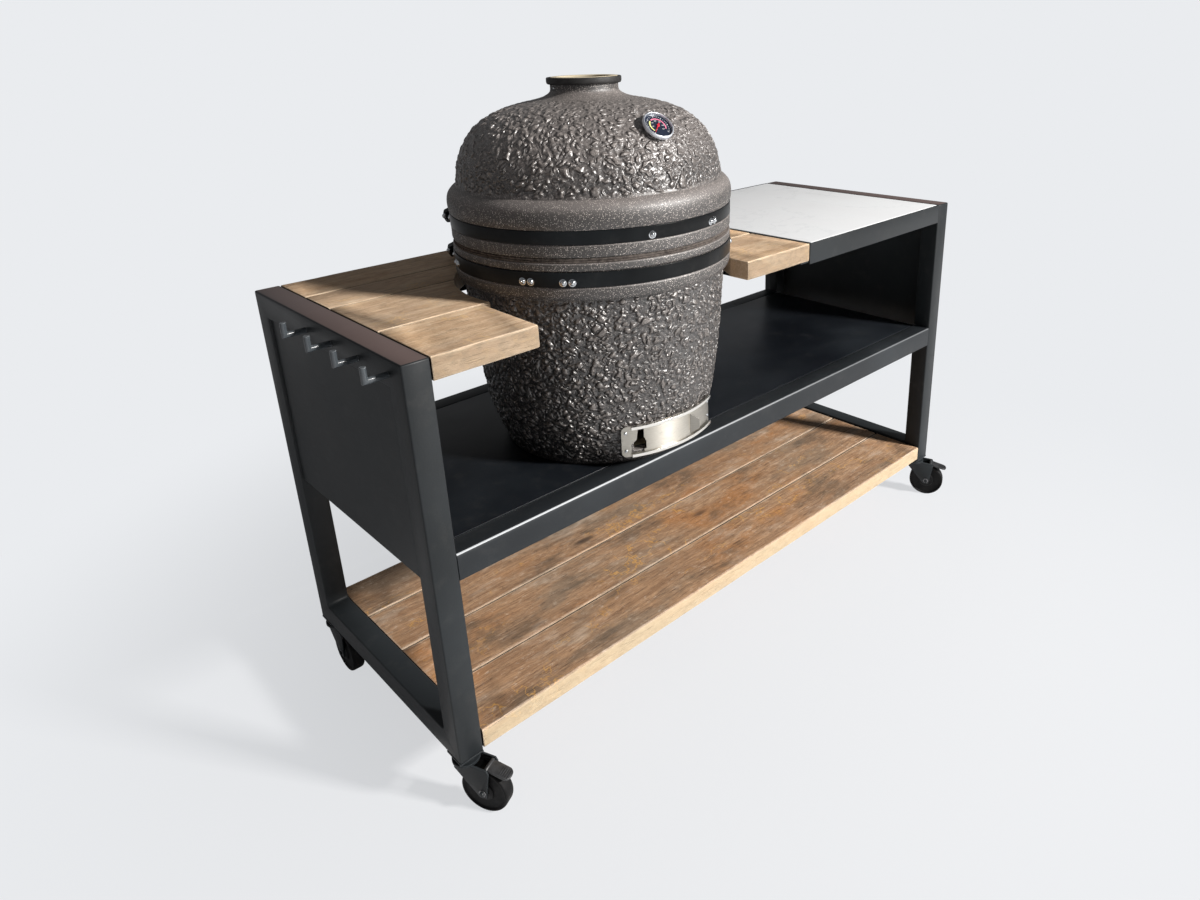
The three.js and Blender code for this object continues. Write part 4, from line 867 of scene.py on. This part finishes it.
base_rows = [(0, 0, 0, GLAZED), (200, 0, 0, GLAZED)]
base_rows += [(r, z, 0, GLAZED) for r, z in foot[:-1]]
base_rows += [(r, z, fade(z, 6, 372, 7), GLAZED) for r, z in base_body]
base_rows += [(r, z, 0, GLAZED) for r, z in divided(collar[1:], 7.0)[:-1]]
base_rows += [(r, z, 0, BARE) for r, z in spline(cavity, 26.0)]
base_rows += [(radius_at(inner_low, z), z, 0, BARE) for z in window_levels[::-1]]
base_rows += [(r, z, 0, BARE) for r, z in [(203, 36), (199.4, 30.5), (196, 29.8), (0, 29.8)]]
DRAFT = -105.0
shell("base_ceramic", base_rows, "kamado_base", "base_shell",
      (DRAFT - 10.4, DRAFT + 10.4, WINDOW_LOW, WINDOW_HIGH))

lid_rim = rounded([(261, 454.7), (289, 454.7), (289, 476.7), (286.5, 478.9), (286.5, 504.5), (289, 505.2)],
                  [0, 3.5, 1.6, 1, 1, 0], 4, False)
bead = spline([(289, 505.2), (291.3, 514.1), (291.9, 527.5), (289, 540.8), (280.9, 551.2), (272.8, 556.3)], 3.0)
dome = spline([(272.8, 556.3), (270.8, 570.5), (267.6, 589.8), (261.3, 612.1), (250.9, 633.8), (237, 654.6),
               (215.9, 673.6), (189.9, 688.7), (160.1, 699.7), (128, 707.7), (100, 712.8), (83.8, 717.2)], ROW)
neck = rounded([(83.8, 717.2), (73.1, 722.6), (68, 727.9), (68, 752.6)], [0, 5, 5, 0], 4, False)
flue = rounded([(68, 752.6), (66.4, 754.3), (52, 754.3), (57.8, 704.2)], [0, 1.2, 3, 0], 4, False)
flue += divided([(57.8, 704.2), (98.3, 692.3)], 14.0)[1:]
lid_inside = spline([(98.3, 692.3), (144.5, 684.9), (185, 670.6), (222.5, 635.9), (245.6, 591.3),
                     (255.8, 514.1), (261, 454.7)], 18.0)
lid_rows = [(r, z, 0, GLAZED) for r, z in divided(lid_rim, 7.0)[:-1]]
lid_rows += [(r, z, 0, GLAZED) for r, z in bead[:-1]]
lid_rows += [(r, z, fade(z, 557, 716.5, 6) * (0.3 + 0.7 * fade(z, 400, 716, 34)), GLAZED) for r, z in dome[:-1]]
lid_rows += [(r, z, 0, GLAZED) for r, z in neck[:-1]]
lid_rows += [(r, z, 0, BARE) for r, z in flue[:-1] + lid_inside[:-1]]
shell("lid_ceramic", lid_rows, "lid", "lid_shell")

# Block of ceramic behind the draft frame
draft_block = Shape(KAMADO)
draft_block.curved(214, 250.6, -119, -68, 31.2, 95.8, [(DRAFT - 10.6, DRAFT + 10.6, WINDOW_LOW, WINDOW_HIGH)])
draft_block.piece("draft_block", "kamado_base", "ceramic", GLAZE, ["base_shell"], bevel=2.0, edges=3)

# Gasket: two felt strips pressed together, with rounded outer edges
gasket = Shape(KAMADO)
for low, high in ((445.0, 449.6), (449.8, 454.4)):
    gasket.lathe(rounded([(263, low), (287.4, low), (287.4, high), (263, high)], [0.4, 2.0, 2.0, 0.4], 4), 256)
gasket.piece("gasket", "kamado_base", "felt", FELT, ["rim_gasket"])


# ---------------------------------------------------------------- bands, bolts and hinge
def outward(angle, radius, height):
    """Where local Z points straight out of the kamado at an angle."""
    return turn(angle) @ shift(radius, 0, height) @ turn(90, "Y")


def strap(name, body, node, low, high, angles, bolt_height):
    ring = rounded([(286.75, low), (289.75, low), (289.75, high), (286.75, high)], 0.9, 3)
    Shape(KAMADO).lathe(ring, 320).piece(name + "_strap", body, "black_coat", BAND, [node])
    bolts = Shape(KAMADO)
    for angle in angles:
        place = outward(angle, 289.7, bolt_height)
        bolts.lathe(rounded([(0.01, -1), (7.4, -1), (7.4, 0.9), (0.01, 0.9)], [0, 0.1, 0.5, 0], 2), 28, 0, place)
        bolts.lathe(domed(5.5, 4.9, 0.5, 7), 24, 0, place)
    bolts.piece(name + "_bolts", body, "chrome", CHROME, [node])


strap("base_band", "kamado_base", "base_band", 400.5, 428.5,
      [-156, -152.7, -140.4, -137, -43, -39.6, -27, -23.7, 35, 145, 159.2, 162.6], 410.3)
strap("lid_band", "lid", "lid_band", 479.2, 504.2, [-107, -77.4, -74.4, 35, 145], 487.95)
for node in ("base_hinge_bracket", "lid_hinge_bracket"):
    softened(node, BAND, 0.5, 2)
softened("hinge_link", BAND, 0.5, 2)
ROD_Y, LOWER_ROD, UPPER_ROD = 305.0, 384.5, 463.2
ends = Shape(KAMADO)
for level in (LOWER_ROD, UPPER_ROD):
    for side in (-1, 1):
        place = shift(side * 173.2, ROD_Y, level) @ turn(90 * side, "Y")
        ends.prism(hexagon(6.2), -0.5, 3.4, 0, place, 0.6)
        ends.lathe(domed(4.6, 3.4, 0.4), 24, 0, place @ shift(0, 0, 3.2))
ends.piece("rod_nuts", "hinge", "chrome", CHROME)
springs = Shape(KAMADO)
for side in (-1, 1):
    turns, start, pitch = 9, 24.0, 4.1
    coil = [(side * (start + pitch * turns * k / (turns * 20)),
             ROD_Y + 10.2 * math.cos(math.tau * k / 20), LOWER_ROD + 10.2 * math.sin(math.tau * k / 20))
            for k in range(turns * 20 + 1)]
    springs.tube(coil, 1.5, 8)
    leg = [(side * (start + pitch * turns), ROD_Y + 10.2, LOWER_ROD),
           (side * (start + pitch * turns), ROD_Y + 10.2, LOWER_ROD + 14),
           (side * (start + pitch * turns), ROD_Y + 6, LOWER_ROD + 30)]
    springs.tube(leg, 1.5, 8)
springs.piece("hinge_springs", "hinge", "chrome", STEEL)

# Chimney ring round the top of the bare neck, and the small rivet in the neck
ring = rounded([(68.3, 740.7), (73, 740.7), (75, 744), (75, 753.6), (68.3, 753.6)], [0.6, 1.5, 3, 2.8, 1.6], 5)
Shape(KAMADO).lathe(ring, 128).piece("neck_ring", "lid", "cast_iron", IRON, ["chimney_ring"])
Shape(KAMADO).lathe(domed(3.0, 1.8, 1.0), 20, 0, outward(170.3, 68.0, 734.0)).piece(
    "neck_rivet", "lid", "chrome", CHROME)

# ---------------------------------------------------------------- draft door
FRAME_IN, FRAME_OUT = 250.97, 252.47
SPAN = (-121.5, -65.5)
draft = Shape(KAMADO)
ROUND = 2.6
plate = [(SPAN[0] + ROUND * (1 - math.sin(math.pi / 2 * k / 5)), 30 + 11 * (1 - math.cos(math.pi / 2 * k / 5)))
         for k in range(6)][::-1] + [(SPAN[1], 30), (SPAN[1], 97)] \
    + [(SPAN[0] + ROUND * (1 - math.sin(math.pi / 2 * k / 5)), 97 - 11 * (1 - math.cos(math.pi / 2 * k / 5)))
       for k in range(6)]
gap = [(DRAFT - 12, 38), (DRAFT + 12, 38), (DRAFT + 12, 89), (DRAFT - 8.6, 89), (DRAFT - 9.4, 66), (DRAFT - 12, 56)]
draft.sheet(plate, gap, FRAME_IN, FRAME_OUT)
RAILS = (SPAN[0] + 4.5, SPAN[1])
draft.piece("draft_frame", "kamado_base", "stainless", STAINLESS, ["draft_door_frame"], bevel=0.5)
rails = Shape(KAMADO)
for low, high, lip, top in ((30, 35, 30, 37), (92, 97, 90, 97)):
    rails.curved(FRAME_OUT - 0.2, FRAME_OUT + 4.6, *RAILS, low, high)
    rails.curved(FRAME_OUT + 3.6, FRAME_OUT + 5.5, *RAILS, lip, top)
rails.piece("draft_rails", "kamado_base", "stainless", POLISHED, ["draft_door_frame"], bevel=0.8, edges=3)
door = Shape(KAMADO)
DOOR = (-111.0, -84.0)
door.curved(FRAME_OUT + 0.5, FRAME_OUT + 2.0, *DOOR, 35.5, 91.5,
            [(DOOR[0], DOOR[0] + 1.1, 44, 62), (DOOR[0], DOOR[0] + 0.6, 62, 68)])
tab = KAMADO @ turn(DOOR[1]) @ shift(FRAME_OUT + 1.25, 0, 63.5) @ turn(35) @ turn(90, "X")
tab_piece = Shape(tab).prism(rounded([(0, -22), (20, -10), (20, 10), (0, 22)], [0, 2.5, 2.5, 0], 4), 0, 1.5)
door.points += tab_piece.points
door.faces += [[i + len(door.points) - len(tab_piece.points) for i in f] for f in tab_piece.faces]
door.paints += tab_piece.paints
door.piece("draft_door_piece", "draft_slider", "stainless", STAINLESS, ["draft_door"], bevel=0.35)
screws = Shape(KAMADO)
for angle, level, head in ((-119.5, 44, 2.4), (-119.5, 83, 2.4), (-67.1, 52, 2.2), (-67.1, 84, 2.2)):
    screws.lathe(domed(3.6, head, 1.0), 20, 0, outward(angle, FRAME_OUT, level))
screws.piece("draft_screws", "kamado_base", "chrome", CHROME)

# ---------------------------------------------------------------- inside the kamado
dressed("fire_box", SOOT, 1.2)
dressed("fire_ring", SOOT, 1.2)
dressed("charcoal_grate", IRON, 0.8)
low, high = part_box("cooking_grate")
grate = Shape(KAMADO)
GRATE_Z, GRATE_R = (low.z - DECK_TOP) / MM + 3, (high.x - low.x) / 2 / MM
grate.tube([(x, y, GRATE_Z) for x, y in circle(GRATE_R - 3, 96)], 3.0, 12, looped=True)
for k in range(-9, 10):
    x = k * 24.0 * (GRATE_R - 4) / 225
    reach = math.sqrt(max(0.0, (GRATE_R - 3) ** 2 - x ** 2))
    if reach > 20:
        grate.tube([(x, -reach, GRATE_Z), (x, reach, GRATE_Z)], 2.3, 10)
for y in (-110, 110):
    reach = math.sqrt((GRATE_R - 3) ** 2 - y ** 2)
    grate.tube([(-reach, y, GRATE_Z - 0.8), (reach, y, GRATE_Z - 0.8)], 2.2, 10)
grate.piece("cooking_grate_piece", "grate", "stainless", STEEL, ["cooking_grate"])

# ---------------------------------------------------------------- thermometer
FOOT = Vector((-0.276793, -0.274616, 1.225976))
DIAL = Matrix.Translation(FOOT) @ turn(-4.5) @ turn(44, "X") @ SCALE
dial_paint = Paint("Dial face", Roughness=0.3, Coat_Weight=0.6, Coat_Roughness=0.05)
cloud = dial_paint.noise(dial_paint.place, 260.0, 3)
dial_paint.set(Base_Color=dial_paint.mix(cloud, rgb(16, 24, 40), rgb(26, 36, 56)))
case = Shape(DIAL)
case.lathe([(0, -6), (8, -6), (8, 1.8), *rounded([(8, 1.8), (26, 1.8), (31, 5.2), (31, 11.2), (29.4, 12.8),
            (27.9, 12.6), (27.4, 7.8)], [0, 2, 2, 1.6, 0.8, 0.6, 0], 3, False), (0, 7.8)], 96, 0)
case.lathe([(0, 7.85), (27.3, 7.85), (27.3, 8.0), (0, 8.0)], 96, 1)
case.piece("thermometer_body", "lid", "chrome", [BEZEL, dial_paint.material], ["thermometer_case"])


def enamel(name, base, roughness=0.4):
    p = Paint(name, Roughness=roughness)
    return p.set(Base_Color=p.mix(p.noise(p.place, 700.0, 3), base, tuple(c * 0.8 for c in base[:3]) + (1.0,)))


def sector(shape, inner, outer, start, end, paint):
    """A thin arc on the dial. Angles run clockwise from 12 o'clock."""
    steps = max(2, int((end - start) / 6))
    ring = [(r * math.sin(math.radians(start + (end - start) * k / steps)),
             r * math.cos(math.radians(start + (end - start) * k / steps)), z)
            for k in range(steps + 1) for r, z in ((inner, 8.15), (outer, 8.15), (outer, 7.95), (inner, 7.95))]
    faces = [(4 * k + a, 4 * k + b, 4 * k + 4 + b, 4 * k + 4 + a) for k in range(steps)
             for a, b in ((0, 1), (1, 2), (2, 3), (3, 0))]
    faces += [(3, 2, 1, 0), tuple(4 * steps + a for a in range(4))]
    shape.add(ring, faces, paint)


WHITE, YELLOW, PINK = enamel("White print", rgb(226, 228, 230)), enamel("Yellow print", rgb(232, 232, 150)), \
    enamel("Pink print", rgb(226, 128, 156))
marks = Shape(DIAL)
sector(marks, 15.0, 17.6, 232, 318, 1)
sector(marks, 15.0, 17.6, 330, 480, 2)
for k in range(25):
    angle = 225 + 270 * k / 24
    width = 1.6 if k % 4 == 0 else 0.8
    sector(marks, 20.2 if k % 4 == 0 else 21.4, 23.2, angle - width, angle + width, 0)
marks.piece("dial_marks", "lid", "chrome", [WHITE, YELLOW, PINK], ["thermometer_case"])
figures = Shape(DIAL)
for k, label in enumerate(("50", "100", "150", "200", "250", "300", "350")):
    angle = math.radians(225 + 45 * k)
    text = bpy.data.curves.new("figure", "FONT")
    text.body, text.size, text.extrude = label, 3.6, 0.06
    text.align_x = text.align_y = "CENTER"
    item = bpy.data.objects.new("figure", text)
    solid = bpy.data.meshes.new_from_object(item)
    spot = shift(11.6 * math.sin(angle), 11.6 * math.cos(angle), 8.1)
    figures.add([v.co for v in solid.vertices], [list(f.vertices) for f in solid.polygons], 0, spot)
    bpy.data.objects.remove(item)
figures.piece("dial_figures", "lid", "chrome", WHITE, ["thermometer_case"])
needle = Shape(DIAL @ turn(135))
needle.prism([(-1.3, -7), (1.3, -7), (0.35, 21), (-0.35, 21)], 9.1, 9.9, 0, edge=0.2)
needle.lathe(rounded([(0.01, 8.7), (3.2, 8.7), (3.2, 10.2), (0.01, 10.6)], [0, 0.2, 0.7, 0], 3), 32, 0)
needle.piece("needle_piece", "needle", "dial_red", enamel("Needle red", rgb(200, 40, 60), 0.3),
             ["thermometer_needle"])

# ---------------------------------------------------------------- floor, light and camera
BACKGROUND = rgb(234, 236, 239)


def seen_by_eye(g):
    """1 for camera and transmission rays, less for glossy rays, and 0 for the rays that light a surface."""
    paths = g.tree.nodes.new("ShaderNodeLightPath")
    glossy = g.math("MULTIPLY", paths.outputs["Is Glossy Ray"], 0.13)
    both = g.math("MAXIMUM", paths.outputs["Is Camera Ray"], glossy)
    return g.math("MAXIMUM", both, paths.outputs["Is Transmission Ray"])


def make_floor():
    data = bpy.data.meshes.new("floor")
    reach = 30.0
    data.from_pydata([(-reach, -reach, 0), (reach, -reach, 0), (reach, reach, 0), (-reach, reach, 0)], [], [(0, 1, 2, 3)])
    floor = bpy.data.objects.new("floor", data)
    bpy.context.scene.collection.objects.link(floor)
    p = Paint("Pale floor", Roughness=0.9, Specular_IOR_Level=0.1)
    p.set(Base_Color=p.mix(p.noise(p.place, 2.0, 3), rgb(233, 235, 238), rgb(231, 233, 236)))
    distance = p.node("ShaderNodeVectorMath", {0: p.place}, 1, operation="LENGTH")
    far = p.math("MULTIPLY", p.span(distance, 0.6, 2.0, 0.72), seen_by_eye(p))
    glow = p.node("ShaderNodeEmission", {"Color": BACKGROUND, "Strength": 1.0})
    both = p.node("ShaderNodeMixShader", {0: far, 1: p.shader.outputs[0], 2: glow})
    p.tree.links.new(both, p.tree.nodes["Material Output"].inputs[0])
    data.materials.append(p.material)


def make_world():
    world = bpy.data.worlds.new("Studio")
    world.use_nodes = True
    bpy.context.scene.world = world
    g = Graph(world.node_tree)
    for item in list(g.tree.nodes):
        g.tree.nodes.remove(item)
    ambient = g.node("ShaderNodeBackground", {"Color": (0.95, 0.97, 1.0, 1.0), "Strength": 0.1})
    backdrop = g.node("ShaderNodeBackground", {"Color": BACKGROUND, "Strength": 1.0})
    both = g.node("ShaderNodeMixShader", {0: seen_by_eye(g), 1: ambient, 2: backdrop})
    g.tree.links.new(both, g.tree.nodes.new("ShaderNodeOutputWorld").inputs[0])


def lamp(name, toward, distance, size, power, aim=(-0.1, 0.0, 0.7), colour=(1, 1, 1)):
    light = bpy.data.lights.new(name, "AREA")
    light.energy, light.size, light.color = power, size, colour
    item = bpy.data.objects.new(name, light)
    item.location = Vector(aim) + Vector(toward).normalized() * distance
    item.rotation_euler = Vector(toward).to_track_quat("Z", "Y").to_euler()
    bpy.context.scene.collection.objects.link(item)


make_floor()
make_world()
lamp("Key", (0.375, -0.812, 0.448), 9.0, 0.9, 1480, colour=(1.0, 0.97, 0.94))
lamp("Fill", (-0.86, 0.1, 0.5), 4.0, 1.6, 2.2, colour=(1.0, 0.66, 0.54))

lens = bpy.data.cameras.new("Camera")
lens.sensor_fit, lens.sensor_width, lens.lens = "HORIZONTAL", 36.0, 24.968
lens.shift_x, lens.shift_y = -0.0589, -0.0858
camera = bpy.data.objects.new("Camera", lens)
camera.matrix_world = Matrix(((0.71631955, 0.26201255, -0.64671147, -1.34664609),
                              (-0.69721097, 0.23158927, -0.67842705, -1.4183223),
                              (-0.02798496, 0.9368649, 0.34856995, 1.3820575),
                              (0.0, 0.0, 0.0, 1.0)))
bpy.context.scene.collection.objects.link(camera)
bpy.context.scene.camera = camera
bpy.context.scene.view_settings.view_transform = "Standard"
